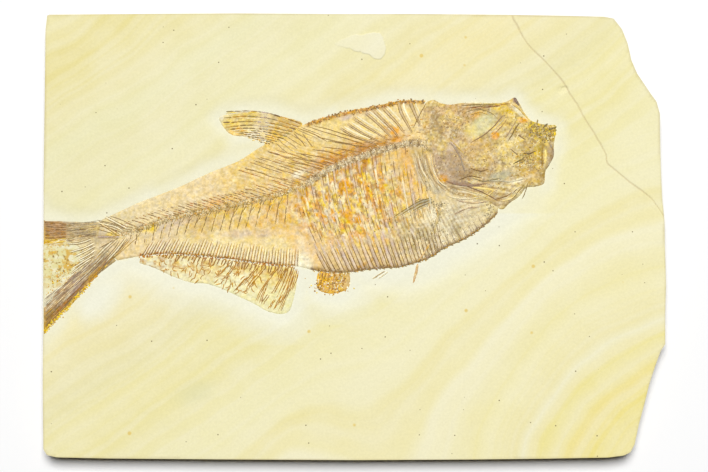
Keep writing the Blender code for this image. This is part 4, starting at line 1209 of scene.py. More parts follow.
class Films:
    """The thin mineral films of flank, skull and fins, with their stains."""

    # Middle of each zone of the flank in pixels, and its colour. For most zones here and below,
    # the colours were matched to the photograph's mean colours at the same place.
    FLANK_ZONES = [
        ((375, 122), "#efd898"), ((415, 112), "#ecd498"), ((330, 130), "#edd592"),
        ((290, 155), "#ecce82"), ((250, 172), "#edd18c"), ((200, 195), "#eed8a6"),
        ((150, 215), "#e9d5a2"), ((120, 228), "#e6d4a2"), ((105, 240), "#dcc69a"),
        ((350, 160), "#e2b868"), ((400, 158), "#ebc67c"), ((378, 200), "#efcd8c"),
        ((345, 205), "#f6cf6c"), ((322, 215), "#f4d28e"), ((410, 195), "#f8d276"),
        ((360, 235), "#f4d48e"), ((400, 245), "#e6cc8e"), ((350, 262), "#e0c48c"),
        ((440, 235), "#e8d6a8"), ((470, 212), "#e2d2a8"), ((495, 212), "#e2d09a"),
        ((280, 215), "#e8c07a"), ((240, 212), "#e8ca84"), ((200, 222), "#dcbe7c"),
        ((165, 235), "#e4cea0"), ((225, 245), "#f3dfa2"), ((275, 250), "#f1dc9e"),
        ((180, 245), "#edd99c"), ((308, 245), "#eccc94"), ((130, 245), "#ead29c"),
    ]
    # Centre, half widths and tilt of single stains in pixels, with their tint and strength.
    FLANK_STAINS = [
        ((362, 150), (46, 8), 20, Tint.RUST, 0.34), ((325, 164), (18, 8), 20, Tint.AMBER, 0.5),
        ((395, 131), (4, 4), 0, Tint.AMBER, 0.9), ((396, 141), (6, 4), -20, Tint.AMBER, 0.9),
        ((388, 127), (9, 4), -40, Tint.RUST, 0.4), ((216, 204), (9, 6), 20, Tint.AMBER, 0.6),
        ((148, 228), (8, 3.5), 20, Tint.LEMON, 0.8), ((152, 230), (4, 3), 0, Tint.LEMON, 0.7),
        ((142, 226), (5, 3), 0, Tint.PLUM, 0.35), ((209, 219), (4, 3), 0, Tint.PLUM, 0.45),
        ((112, 235), (6, 3), 0, Tint.LEMON, 0.8), ((431, 108), (5, 4), 0, Tint.CREAM, 1.0),
        ((299, 173), (7, 4), 30, Tint.CREAM, 0.7), ((430, 118), (6, 5), 0, Tint.AMBER, 0.5),
        ((235, 234), (16, 4), 3, Tint.LILAC, 0.4), ((262, 233), (14, 4), 3, Tint.LILAC, 0.4),
        ((180, 222), (24, 4), 20, Tint.LILAC, 0.4), ((225, 206), (40, 5), 18, Tint.GOLD, 0.3),
        ((437, 187), (9, 7), -40, Tint.ASH, 0.8), ((424, 172), (8, 20), 22, Tint.ASH, 0.6),
        ((408, 165), (5, 24), 14, Tint.AMBER, 0.5), ((452, 222), (10, 14), 0, Tint.ASH, 0.35),
        ((432, 214), (4, 9), 10, Tint.CREAM, 0.8), ((368, 112), (22, 3), 16, Tint.LILAC, 0.3),
        ((256, 225), (26, 5), 5, Tint.OCHRE, 0.3), ((420, 153), (14, 5), 0, Tint.OLIVE, 0.3),
    ]
    # Stains that lie over the painted bones.
    OVER_STAINS = [
        ((303, 266), (9, 13), 0, Tint.CREAM, 1.0), ((301, 246), (4, 9), 8, Tint.CREAM, 0.35),
        ((365, 264), (15, 1.8), 32, Tint.GOLD, 0.7), ((299, 173), (6, 3.5), 30, Tint.CREAM, 0.9),
        ((434, 150), (9, 2.5), 0, Tint.SOOT, 0.35), ((396, 131), (3.5, 4), 0, Tint.AMBER, 0.9),
        ((398, 140), (4, 3), -20, Tint.AMBER, 0.8), ((345, 117), (6, 3), 16, Tint.LILAC, 0.6),
        ((365, 167), (3, 6), 0, Tint.RUST, 0.6), ((332, 160), (11, 4), 20, Tint.RUST, 0.45),
        ((367, 146), (9, 4), 15, Tint.RUST, 0.4), ((432, 186), (9, 3), -50, Tint.CREAM, 0.25),
    ]
    SKULL_ZONES = [
        ((455, 112), "#d2b07a"), ((447, 135), "#dfc082"), ((446, 165), "#c4a98a"),
        ((465, 150), "#caac7a"), ((480, 165), "#dcbc7c"), ((505, 160), "#e0ca94"),
        ((490, 104), "#d8bc7c"), ((508, 110), "#eac660"), ((522, 112), "#f0da74"),
        ((500, 135), "#ecd284"), ((520, 140), "#dcc27c"), ((540, 130), "#e2c84c"),
        ((535, 150), "#ccae58"), ((550, 155), "#c0a66a"), ((530, 175), "#d0b268"),
        ((500, 185), "#d6bc82"), ((470, 185), "#c8ac78"), ((515, 195), "#e2ce90"),
        ((485, 198), "#d8bc78"),
    ]
    SKULL_STAINS = [
        ((481, 125), (16, 8), 38, Tint.MOSS, 0.6), ((471, 130), (6, 7), 38, Tint.LEMON, 0.4),
        ((475, 116), (6, 3), 30, Tint.AMBER, 0.4), ((495, 135.5), (4, 4), 0, Tint.AMBER, 1.0),
        ((523, 120), (5, 3), 0, Tint.AMBER, 0.8), ((554, 134), (2.5, 2.5), 0, Tint.LEMON, 0.9),
        ((442, 179), (6, 4), 0, Tint.AMBER, 0.7), ((516, 99.5), (3, 4), 0, Tint.PLUM, 0.9),
        ((545, 156), (1.8, 7.5), 2, Tint.STRAW, 1.0), ((551, 154), (3, 14), 2, Tint.TAUPE, 0.8),
        ((485, 104), (24, 1.6), 0, Tint.OLIVE, 0.3), ((519, 111), (11, 3), -42, Tint.CREAM, 0.7),
        ((538, 131), (10, 8), -20, Tint.OLIVE, 0.35), ((455, 164), (9, 17), 12, Tint.PLUM, 0.25),
        ((524, 158), (8, 4), 20, Tint.OLIVE, 0.5), ((540, 147), (5, 4), 0, Tint.OLIVE, 0.6),
        ((466, 184), (18, 3), -8, Tint.PLUM, 0.5), ((519, 180), (12, 2), 16, Tint.CREAM, 0.7),
        ((511, 139), (4, 5), 0, Tint.CREAM, 0.5), ((500, 176), (12, 4.5), 15, Tint.SAGE, 0.9),
        ((480, 148), (15, 9), 20, Tint.OCHRE, 0.35), ((512, 150), (12, 12), 0, Tint.STRAW, 0.4),
        ((443, 157), (3, 2.5), 0, Tint.BARK, 0.6), ((452, 146), (7, 5), 40, Tint.LILAC, 0.4),
        ((454, 163), (13, 15), 10, Tint.TAUPE, 0.5), ((470, 173), (16, 4), 10, Tint.UMBER, 0.3),
        ((502, 109), (10, 4.5), -20, Tint.LEMON, 0.45), ((541, 153), (3, 12), 0, Tint.BARK, 0.5),
        ((480, 101.5), (24, 1.8), 0, Tint.CREAM, 0.85),
        ((538, 152), (5, 8), 0, Tint.LEMON, 0.35), ((531, 175), (9, 8), 0, Tint.OCHRE, 0.5),
    ]
    FIN_ZONES = {
        "dorsal_fin": [((292, 128), "#d4b46c"), ((280, 137), "#deba64"), ((264, 124), "#d8c594"),
                       ((245, 118), "#e0c674"), ((228, 122), "#e6ce7c"), ((216, 118), "#e9e0bc"),
                       ((250, 136), "#ece0bc"), ((232, 132), "#f0cc7a")],
        "anal_fin": [((290, 280), "#f0e2a4"), ((265, 272), "#eedb92"), ((240, 272), "#f4ebbc"),
                     ((210, 268), "#efe2aa"), ((180, 262), "#efe6b8"), ((155, 258), "#ebe3bc"),
                     ((287, 300), "#ece6b0"), ((225, 284), "#eeeabc"), ((262, 300), "#efe7b0")],
        "tail_fin": [((56, 228), "#bd996c"), ((80, 228), "#c0ae88"), ((95, 228), "#d3bb80"),
                     ((102, 264), "#b0986a"), ((78, 284), "#b09480"), ((55, 305), "#b08e64"),
                     ((50, 243), "#cea648"), ((110, 245), "#d6c294"), ((80, 250), "#ead9a8"),
                     ((72, 262), "#e8d8a4"), ((60, 316), "#c09a40"), ((94, 282), "#b89a50")],
        "pelvic_fin": [((332, 284), "#e0b45c"), ((345, 279), "#d2b06a"), ((322, 287), "#eab848")],
        "pectoral_fin": [((424, 202), "#b8ae8a"), ((412, 208), "#d2ba84"),
                         ((398, 216), "#e2c48c")],
    }

    def __init__(self, relief: Relief, tools: "Tools") -> None:
        """Keeps what the films lie on and their finish, and stains the ground."""
        self.relief, self.tools = relief, tools
        self.grain = Grain(23)
        self.painters = {"flank_film": (relief.trunk, self.flank_colour),
                         "skull_plates": (relief.skull, self.skull_colour)}
        for node, outline in relief.fins.items():
            self.painters[node.replace("fin", "web")] = (
                outline, lambda x, y, node=node: self.web_colour(node, x, y))
        gx, gy = relief.lattice()
        stains = np.tile(rgb("#efe8c2"), (len(gx), 1))
        for outline, colours in self.painters.values():
            inside = outline.depth(gx, gy) > -0.8
            stains[inside] = colours(gx[inside], gy[inside])
        relief.stains = stains.reshape(*relief.heights.shape, 3)

    def zoned(self, x: Rows, y: Rows, zones: list) -> Rows:
        """Blends the colours of the nearest zones."""
        total, weight = np.zeros((len(x), 3)), np.zeros(len(x))
        wander_x = x + 2.0 * self.grain.cloud(x, y, 6.0)
        wander_y = y + 2.0 * self.grain.cloud(y, x, 6.0)
        for centre, code in zones:
            cx, cy = spot_of(centre)
            near = 1.0 / ((wander_x - cx) ** 2 + (wander_y - cy) ** 2 + 4.0) ** 2
            total += near[:, None] * rgb(code)
            weight += near
        return total / weight[:, None]

    def stained(self, colour: Rows, x: Rows, y: Rows, stains: list) -> Rows:
        """Lays single stains over the colour, their rims broken by noise."""
        ragged = 0.35 * self.grain.cloud(x, y, 2.2)
        for centre, radii, tilt, tint, strength in stains:
            inside = np.clip(patch(x, y, centre, radii, tilt, 0.45), 0.0, 1.0)
            colour = laid(colour, tint, inside * (1.0 + ragged) * strength)
        return colour

    # Tint, width in millimetres, range, strength and shift of the rib zone's blobs.
    BLOBS = [
        (Tint.STRAW, 3.4, -0.15, 0.2, 0.75, 13.0), (Tint.LILAC, 2.2, 0.16, 0.42, 0.5, 5.0),
        (Tint.LEMON, 2.2, 0.06, 0.28, 0.65, 83.0), (Tint.AMBER, 2.1, 0.04, 0.26, 0.8, 41.0),
        (Tint.CREAM, 1.5, 0.24, 0.5, 0.6, 23.0), (Tint.TAWNY, 1.2, 0.32, 0.52, 0.6, 7.0),
        (Tint.UMBER, 1.0, 0.38, 0.6, 0.5, 67.0),
    ]

    def blobs(self, colour: Rows, x: Rows, y: Rows, mask: Rows) -> Rows:
        """Blots the rib zone between its ribs: orange, yellow, cream and lilac."""
        across, down = self.relief.rib_row(x, y) * 4.0, y * 0.66
        for tint, size, low, high, strength, shift in self.BLOBS:
            lumps = self.grain.cloud(across + shift, down - shift, size, 2)
            colour = laid(colour, tint, smoothstep(low, high, lumps) * strength * mask)
        return colour

    def ribbed(self, colour: Rows, x: Rows, y: Rows, mask: Rows) -> Rows:
        """Paints the ribs that show through the film: pale, with a broken dark line each side."""
        row = self.relief.rib_row(x, y)
        across, down = row * 4.0, y * 0.5
        row = row + 0.16 * self.grain.cloud(across, y, 3.0)
        near = np.abs(row - np.round(row))
        worn = smoothstep(-0.35, 0.25, self.grain.cloud(across, down, 2.6))
        colour = laid(colour, Tint.LILAC, smoothstep(0.27, 0.16, near) * worn * 0.75 * mask)
        pale = self.grain.cloud(across + 9.0, down * 2.0, 1.3)
        colour = laid(colour, Tint.CREAM,
                      smoothstep(0.2, 0.08, near) * smoothstep(0.0, 0.5, pale) * 0.6 * mask)
        kept = 0.2 + 0.8 * smoothstep(-0.2, 0.4, self.grain.value(across * 2.0, down * 2.0, 1.5))
        colour = laid(colour, Tint.UMBER, np.exp(-((near - 0.28) / 0.07) ** 2) * kept * 0.6 * mask)
        keel = smoothstep(5.5, 0.8, path_gap(x, y, self.relief.belly)) * mask
        return laid(colour, Tint.UMBER, smoothstep(0.2, 0.45, near) * keel * 0.5)

    def column(self, colour: Rows, x: Rows, y: Rows) -> Rows:
        """Paints the granular backbone, the rusty strip above it and the golden one below."""
        rise = y - np.interp(x, *self.relief.backbone[::-1].T)
        front = smoothstep(-31.0, -21.0, x) * smoothstep(35.5, 31.0, x)
        rear = smoothstep(-21.0, -31.0, x) * smoothstep(-112.0, -106.0, x)
        streaks = self.grain.cloud(x * 0.9 + rise, rise * 2.4, 1.8)
        above = np.exp(-((rise - 3.1) / 1.5) ** 2) * smoothstep(26.0, 18.0, x)
        colour = laid(colour, Tint.TAWNY, above * front * smoothstep(-0.5, 0.3, streaks) * 0.7)
        below = np.exp(-((rise + 2.6) / 1.5) ** 2) * smoothstep(-78.0, -60.0, x)
        colour = laid(colour, Tint.LEMON, below * rear * smoothstep(-0.2, 0.4, streaks) * 0.5)
        colour = laid(colour, Tint.GOLD, below * rear * smoothstep(0.0, 0.5, -streaks) * 0.6)
        under = np.exp(-((rise + 2.5) / 0.9) ** 2) * front * smoothstep(20.0, 8.0, x)
        colour = laid(colour, Tint.RUST, under * smoothstep(-0.4, 0.4, streaks) * 0.6)
        band = np.exp(-(rise / (1.9 - 0.5 * rear)) ** 4)
        colour = laid(colour, Tint.TAUPE, band * front * 0.8)
        colour = laid(colour, Tint.OLIVE, band * rear * 0.45)
        grains = self.grain.cloud(x, y, 1.3, 2)
        band = band * (front + 0.6 * rear)
        colour = laid(colour, Tint.BARK, band * smoothstep(0.05, 0.4, grains) * 0.7)
        return laid(colour, Tint.CREAM, band * smoothstep(0.1, 0.45, -grains) * 0.7)

    def beaded(self, colour: Rows, x: Rows, y: Rows, path: Rows, tints: tuple[Tint, Tint],
               width: float) -> Rows:
        """Paints a granular band along a path, its grains in two tints."""
        band = np.exp(-(path_gap(x, y, path) / width) ** 2)
        grains = self.grain.cloud(x, y, 1.0, 2)
        colour = laid(colour, tints[0], band * 0.85)
        return laid(colour, tints[1], band * smoothstep(0.0, 0.4, grains) * 0.8)

    def combed(self, colour: Rows, x: Rows, y: Rows, mask: Rows, slope: float, pitch: float,
               strength: float) -> Rows:
        """Lays fine dark and pale lines side by side, as thin bones show through the film.

        Args:
            colour: the colour so far.
            x: the points' x.
            y: the points' y.
            mask: how much of the lines shows.
            slope: the lines' direction in degrees.
            pitch: the distance between them in millimetres.
            strength: how strong they are.

        Returns:
            The colour with its lines.
        """
        angle = math.radians(slope)
        run = x * math.cos(angle) + y * math.sin(angle)
        side = y * math.cos(angle) - x * math.sin(angle)
        side = side + 0.5 * self.grain.cloud(run * 0.4, side, 2.4)
        wave = np.sin(side * math.tau / pitch)
        kept = 0.55 + 0.45 * self.grain.value(run * 0.35, side * 1.7, 1.2)
        colour = laid(colour, Tint.UMBER, smoothstep(0.35, 1.0, wave) * strength * kept * mask)
        return laid(colour, Tint.CREAM, smoothstep(0.35, 1.0, -wave) * strength * kept * mask)

    def speckled(self, colour: Rows, x: Rows, y: Rows, amount: float) -> Rows:
        """Breaks the colour with light and dark grains."""
        grains = self.grain.cloud(x, y, 1.5, 2) * 0.6 + self.grain.value(x, y, 0.55) * 0.5
        return np.clip(colour * (1.0 + amount * grains[:, None]), 0.0, 1.0)

    def flank_colour(self, x: Rows, y: Rows) -> Rows:
        """Returns the flank's colour: zones, ribs, backbone, spines and stained margins."""
        colour = self.zoned(x, y, self.FLANK_ZONES)
        colour = self.stained(colour, x, y, self.FLANK_STAINS)
        colour = self.blobs(colour, x, y, 0.3 * patch(x, y, (290, 195), (90, 34), 14, 0.6))
        colour = self.ribbed(colour, x, y, patch(x, y, (366, 212), (58, 58), -12, 0.25))
        colour = self.blobs(colour, x, y, patch(x, y, (352, 200), (58, 44), -8, 0.4))
        comb = patch(x, y, (290, 160), (62, 20), 18, 0.5)
        colour = self.combed(colour, x, y, comb, -17.0, 1.9, 0.4)
        column = patch(x, y, (205, 205), (110, 9), 15, 0.5)
        colour = self.combed(colour, x, y, column, -24.0, 1.3, 0.4)
        chest = patch(x, y, (432, 232), (38, 30), 18, 0.4)
        lumps = self.grain.cloud(x, y, 2.6)
        colour = laid(colour, Tint.OLIVE, smoothstep(0.0, 0.4, lumps) * 0.5 * chest)
        colour = laid(colour, Tint.CREAM, smoothstep(0.05, 0.4, -lumps) * 0.45 * chest)
        colour = self.combed(colour, x, y, chest, -62.0, 1.8, 0.75)
        plate = patch(x, y, (472, 208), (22, 11), 24, 0.5)
        colour = self.combed(colour, x, y, plate, 18.0, 2.6, 0.45)
        girdle = patch(x, y, (427, 174), (13, 24), 24, 0.35)
        colour = self.combed(colour, x, y, girdle, -70.0, 2.3, 0.95)
        colour = self.column(colour, x, y)
        colour = self.stained(colour, x, y, self.OVER_STAINS)
        belly, back = self.relief.belly, self.relief.back
        keel = offset_path(belly[belly[:, 0] > -20.0], 0.7)
        colour = self.beaded(colour, x, y, self.relief.anal_base + (0.0, 0.4),
                             (Tint.GOLD, Tint.TAWNY), 0.8)
        colour = self.beaded(colour, x, y, keel, (Tint.UMBER, Tint.BARK), 1.1)
        colour = self.beaded(colour, x, y, offset_path(back[back[:, 0] > -24.0], 1.0),
                             (Tint.GOLD, Tint.BARK), 1.15)
        return self.speckled(colour, x, y, 0.2)

    def skull_colour(self, x: Rows, y: Rows) -> Rows:
        """Returns the skull's colour: finely granular tan, with stains."""
        colour = self.zoned(x, y, self.SKULL_ZONES)
        for tint, size, low, strength, shift in (
                (Tint.TAUPE, 5.0, 0.05, 0.45, 57.0), (Tint.STRAW, 4.0, 0.05, 0.5, 15.0),
                (Tint.OLIVE, 3.0, 0.25, 0.3, 71.0), (Tint.CREAM, 1.0, 0.3, 0.35, 5.0),
                (Tint.UMBER, 1.0, 0.2, 0.5, 31.0)):
            lumps = self.grain.cloud(x + shift, y - shift, size, 2)
            colour = laid(colour, tint, smoothstep(low, low + 0.3, lumps) * strength)
        snout = patch(x, y, (545, 132), (17, 12), -10, 0.5)
        lumps = self.grain.cloud(x, y, 1.7, 2)
        colour = laid(colour, Tint.BARK, smoothstep(0.05, 0.35, lumps) * 0.7 * snout)
        colour = laid(colour, Tint.LEMON, smoothstep(0.1, 0.35, -lumps) * 0.5 * snout)
        streaked = patch(x, y, (486, 190), (34, 11), -8, 0.5)
        colour = self.combed(colour, x, y, streaked, -8.0, 2.6, 0.8)
        colour = self.stained(colour, x, y, self.SKULL_STAINS)
        calm = patch(x, y, (481, 125), (15, 8), 38) + patch(x, y, (551, 154), (3, 14), 2)
        calm = (1.0 - 0.75 * np.clip(calm, 0.0, 1.0))[:, None]
        return self.speckled(colour, x, y, 0.22) * calm + colour * (1.0 - calm)

    def web_colour(self, node: str, x: Rows, y: Rows) -> Rows:
        """Returns the colour of the web of one fin, the anal one blotched along its base."""
        colour = self.zoned(x, y, self.FIN_ZONES[node])
        if node != "anal_fin":
            return self.speckled(colour, x, y, 0.3)
        near_base = smoothstep(13.0, 2.0, path_gap(x, y, self.relief.anal_base))
        for tint, size, low, strength in ((Tint.STRAW, 4.0, -0.1, 0.6), (Tint.OCHRE, 2.4, 0.1, 0.6),
                                          (Tint.TAWNY, 1.4, 0.28, 0.6)):
            lumps = self.grain.cloud(x + 9.0 * size, y, size, 2)
            colour = laid(colour, tint, smoothstep(low, low + 0.3, lumps) * strength * near_base)
        return self.speckled(colour, x, y, 0.13)

    def build_film(self, name: str, cell: float) -> bpy.types.Object:
        """Builds one closed, painted film with faces of this size in millimetres."""
        outline, colours = self.painters[name]
        film = cut_sheet(name, outline, cell)
        x, y, _ = plan(film)
        depth = outline.depth(x, y)
        grains = 0.05 * self.grain.cloud(x, y, 1.6) + 0.03 * self.grain.value(x, y, 0.7)
        at_saw_cut = x < LEFT_LIMIT + 0.7
        sunk = 0.3 * (1.0 - smoothstep(0.0, 0.5, depth)) * ~at_saw_cut - 0.15 * at_saw_cut
        z = self.relief.top(x, y) + grains - sunk
        move_to(film, x, y, z)
        close_below(film, FACE - HOLLOW_DEPTH - 1.0)
        x, y, _ = plan(film)
        paint(film, "stain", colours(x, y))
        finish_mesh(film, 60.0)
        film.data.materials.append(self.tools.film)
        return film

    def build(self) -> list[tuple[bpy.types.Object, str]]:
        """Builds every film and returns each with the node that it stands for."""
        made = [(self.build_film("flank_film", 0.4), "trunk"),
                (self.build_film("skull_plates", 0.3), "skull")]
        for node in self.relief.fins:
            made.append((self.build_film(node.replace("fin", "web"), 0.42), node))
        return made


class Skeleton:
    """The backbone, ribs, spines, fin supports and scutes of the trunk."""

    # Lines of the broad bars over the nape and of the thin ones behind, in pixels.
    NAPE_BARS = [
        [(410, 101.5), (413, 109), (416.4, 117), (420, 125)],
        [(399, 101.5), (400.5, 111), (407, 123.5), (413, 134)],
        [(382.5, 107.5), (390, 115.5), (397, 123), (405, 134)],
        [(372.5, 110), (382.5, 119.5), (393.8, 130.8), (399, 138)],
        [(365, 112.5), (376.2, 122), (387.5, 133.2), (393, 139)],
        [(352.5, 117.6), (365, 125.8), (380, 134.8), (387, 140)],
        [(347.5, 123.9), (360, 132), (372.5, 138.2), (382, 143)],
        [(340, 128.2), (352.5, 135.4), (367.5, 141), (377, 145)],
    ]
    NAPE_LINES = [
        [(426.2, 103.2), (419, 116), (413.1, 128)], [(313.8, 125.8), (331, 130.1), (370, 142.5)],
        [(306, 125.8), (321, 130.8), (365, 144.5)], [(297.5, 128.2), (315, 134.5), (327, 141.6)],
        [(293.8, 133.2), (306.2, 147)], [(302.5, 133.2), (312.5, 147)],
        [(327.5, 140.8), (346, 143.9), (370, 147.5)], [(321, 146.6), (340, 149), (360, 152)],
        [(312.5, 149.5), (327.5, 151.6), (343, 155.8)], [(296, 153.2), (315, 155.8), (334, 159.5)],
        [(290, 156.4), (308.8, 160.8), (325, 163.6)], [(290, 162), (315, 166.4)],
        [(318, 137), (338, 141.5), (352, 144)], [(330, 133.5), (348, 139), (362, 143)],
    ]
    # Breast bones, in pixels, with half width in millimetres.
    BREAST = [
        ([(441, 208), (437, 220), (434, 235)], 0.6, Tint.OLIVE),
        ([(430, 243), (424, 253), (417, 262)], 0.5, Tint.GOLD),
        ([(418, 264), (416, 274), (413, 283)], 0.7, Tint.RUST),
        ([(415, 153.5), (417, 167), (423, 179), (429, 191)], 0.45, Tint.ASH),
        ([(418, 154), (421, 167), (428, 180), (434, 192)], 0.45, Tint.CREAM),
        ([(422, 155), (426, 169), (433, 181), (439, 191)], 0.55, Tint.ASH),
        ([(430, 153), (434, 172), (441, 183), (450, 188)], 0.4, Tint.CREAM),
        ([(426, 154), (430, 170), (437, 183), (446, 191)], 0.4, Tint.UMBER),
        ([(456, 200), (472, 203), (488, 201)], 0.4, Tint.PLUM),
        ([(455, 214), (468, 208), (480, 207)], 0.4, Tint.PLUM),
        ([(426, 206), (431, 216), (434, 226)], 0.5, Tint.CREAM),
        ([(448, 196), (462, 199), (480, 197)], 0.4, Tint.CREAM),
        ([(385, 271), (372, 279)], 0.35, Tint.UMBER), ([(388, 272), (378, 279)], 0.3, Tint.CREAM),
    ]

    FRONT_RIBS = 6
    SPLINTERS = 110
    KEEL_POINTS = 26
    NAPE_GRAINS = 230
    KEEL_GRAINS = 200

    def __init__(self, relief: Relief, tools: Tools) -> None:
        """Keeps what the bones lie on and the blanks they are copied from."""
        self.relief, self.tools = relief, tools

    def gather(self, name: str, seed: int) -> Bones:
        """Starts a gathering of bones."""
        return Bones(name, self.relief, self.tools, seed)

    def backbone(self) -> Bones:
        """Lays the vertebrae, each a waisted drum, with mineral grains over them."""
        bones = self.gather("backbone", 1)
        path = self.relief.backbone
        for i in range(VERTEBRA_COUNT):
            share = (i + 0.5) / VERTEBRA_COUNT
            spot, ahead = along(path, share)
            half, reach = 2.0 - 0.8 * share, 1.75 - 0.25 * share
            tints = [Tint.ASH, Tint.OLIVE] if share < 0.4 else [Tint.OCHRE, Tint.OLIVE]
            across = np.array([-ahead[1], ahead[0]])
            for end in (-0.78, 0.78):
                middle = spot + ahead * end * reach
                bones.bar(np.array([middle - across * half, middle + across * half]),
                          0.3, 0.5, tints, (0.9, 0.9), 0.1, short=True, blend=0.5)
            bones.bar(np.array([spot - ahead * reach * 0.8, spot + ahead * reach * 0.8]),
                      half * 0.62, 0.42, [Tint.SAND, tints[0]], (1.0, 1.0), 0.15, short=True,
                      blend=0.4)
        front = [Tint.TAUPE, Tint.BARK, Tint.CREAM, Tint.SAND, Tint.UMBER, Tint.SAND]
        rear = [Tint.OLIVE, Tint.GOLD, Tint.UMBER, Tint.CREAM, Tint.SAND, Tint.BARK, Tint.AMBER]
        for low, high, count, tints in ((0.0, 0.4, 420, front), (0.4, 1.0, 520, rear)):
            spots = []
            for share in bones.rng.uniform(low, high, count):
                spot, ahead = along(path, share)
                across = np.array([-ahead[1], ahead[0]])
                spots.append(spot + across * bones.rng.normal(0.0, 0.95 - 0.3 * share))
            bones.crumbs(np.array(spots), (0.2, 0.42), tints, 0.25, blend=0.25)
        return bones

    def ribs(self) -> Bones:
        """Hangs the ribs from the front half of the backbone down to the belly."""
        bones = self.gather("ribs", 2)
        for i, path in enumerate(self.relief.rib_paths):
            upper = [Tint.LILAC, Tint.SAND] if i % 3 else [Tint.TAUPE, Tint.CREAM]
            path = path + bones.rng.normal(0.0, 0.25, 2)
            bones.broken(path[:9], 0.5, 0.34, upper, 4, 0.5, blend=0.45)
            front = i < self.FRONT_RIBS
            bones.bar(path[9 + 2 * front:], 0.5 if front else 0.68, 0.42, [Tint.LILAC, Tint.SAND],
                      (0.7, 0.9), 0.25, blend=0.55 if front else 0.3)
            for side in (-1.0, 1.0):
                bones.broken(path[:10] + (side * 0.85, 0.0), 0.2, 0.36,
                             [Tint.UMBER, Tint.BARK, Tint.RUST, Tint.OLIVE], 6, 0.5, blend=0.2)
                bones.bar(path[10:] + (side * 0.95, 0.0), 0.22, 0.38, [Tint.UMBER, Tint.BARK],
                          (0.3, 1.4), 0.15, blend=0.2)
            bones.broken(path[2:12] + (2.1, 0.0), 0.2, 0.28,
                         [Tint.AMBER, Tint.LEMON, Tint.CREAM, Tint.UMBER], 6, 0.35, blend=0.2)
            dots = path[bones.rng.integers(2, 11, 3)] + bones.rng.normal(0.0, 0.9, (3, 2))
            bones.crumbs(dots, (0.17, 0.26), [Tint.SOOT], 0.35, blend=0.0)
        return bones

    def nape_bars(self) -> Bones:
        """Lays the broad bars that slant over the nape, and the stained splinters below."""
        bones = self.gather("nape_bars", 3)
        for i, line in enumerate(self.NAPE_BARS):
            path = drawn(line)
            bones.outlined(path, 0.82 - 0.05 * i, Tint.TAUPE, Tint.UMBER, 0.4)
            bones.bar(path[:9] + (1.9, 0.8), 0.5, 0.22, [Tint.CREAM, Tint.CREAM], (0.8, 0.4), 0.1,
                      blend=0.35)
        for line in self.NAPE_LINES:
            bones.bar(drawn(line), 0.24, 0.34, [Tint.UMBER, Tint.UMBER],
                      (0.8, 0.8), 0.12, blend=0.2)
        middle = spot_of((356, 151))
        for _ in range(self.SPLINTERS):
            spot = middle + turned(bones.rng.normal(0.0, 1.0, 2) * (13.0, 2.4), 20)
            step = turned(np.array([1.0, 0.0]), bones.rng.normal(-16.0, 14.0))
            if path_gap(spot[:1], spot[1:], self.relief.backbone)[0] < 1.4:
                continue
            tint = [Tint.RUST, Tint.AMBER, Tint.UMBER, Tint.PLUM][bones.rng.integers(4)]
            bones.bar(np.array([spot, spot + step * bones.rng.uniform(1.5, 3.5)]), 0.2, 0.3,
                      [tint, Tint.GOLD], (0.9, 0.9), 0.1, short=True, blend=0.2)
        return bones

    def neural_spines(self) -> Bones:
        """Sweeps the upper spines back, flat along the fish."""
        bones = self.gather("neural_spines", 4)
        left = np.array([-1.0, 0.0])
        for i in np.arange(10.5, VERTEBRA_COUNT - 0.5, 0.5):
            share = (i + 0.5) / VERTEBRA_COUNT
            root, _ = along(self.relief.backbone, share)
            nape = max(0.0, 1.0 - share / 0.22)
            lean = turned(left, -(17.0 + 50.0 * nape ** 1.2 + bones.rng.normal(0.0, 1.2)))
            length = 29.0 if share < 0.45 else 13.0 - 9.0 * (share - 0.45)
            path = root + lean * np.linspace(0.0, length, 30)[:, None]
            inside = self.relief.trunk.depth(path[:, 0], path[:, 1]) > 2.6 + 2.4 * share
            last = int(np.argmin(inside)) if not inside.all() else 30
            if last < 6:
                continue
            half = i % 1.0 > 0.0
            bones.broken(path[2:last], 0.2 if half else 0.25, 0.32,
                         [Tint.UMBER, Tint.BARK, Tint.RUST, Tint.UMBER], max(2, last // 6),
                         0.6 if half else 0.95, blend=0.1)
            bones.broken(path[2:last] + (0.3, 0.75), 0.18, 0.24, [Tint.CREAM, Tint.SAND],
                         5, 0.6, blend=0.3)
        return bones

    def haemal_spines(self) -> Bones:
        """Hangs the lower spines from the tail half of the backbone."""
        bones = self.gather("haemal_spines", 5)
        for i in np.arange(0.0, HAEMAL_COUNT, 0.5):
            share = RIBBED_SHARE + (0.96 - RIBBED_SHARE) * (i + 0.5) / HAEMAL_COUNT
            root, ahead = along(self.relief.backbone, share)
            half = i % 1.0 > 0.0
            length = (15.0 - 8.0 * i / HAEMAL_COUNT) * (0.6 if half else 1.0)
            tip = root + turned(ahead, 62 - (16 if half else 0)) * length
            path = np.linspace(root, tip, 12)
            bones.broken(path, 0.2 if half else 0.25, 0.32, [Tint.UMBER, Tint.BARK, Tint.OLIVE],
                         4, 0.7 if half else 0.95, blend=0.1)
            bones.broken(path + (0.75, 0.1), 0.2, 0.26, [Tint.CREAM, Tint.LEMON, Tint.SAND],
                         4, 0.75, blend=0.3)
        return bones

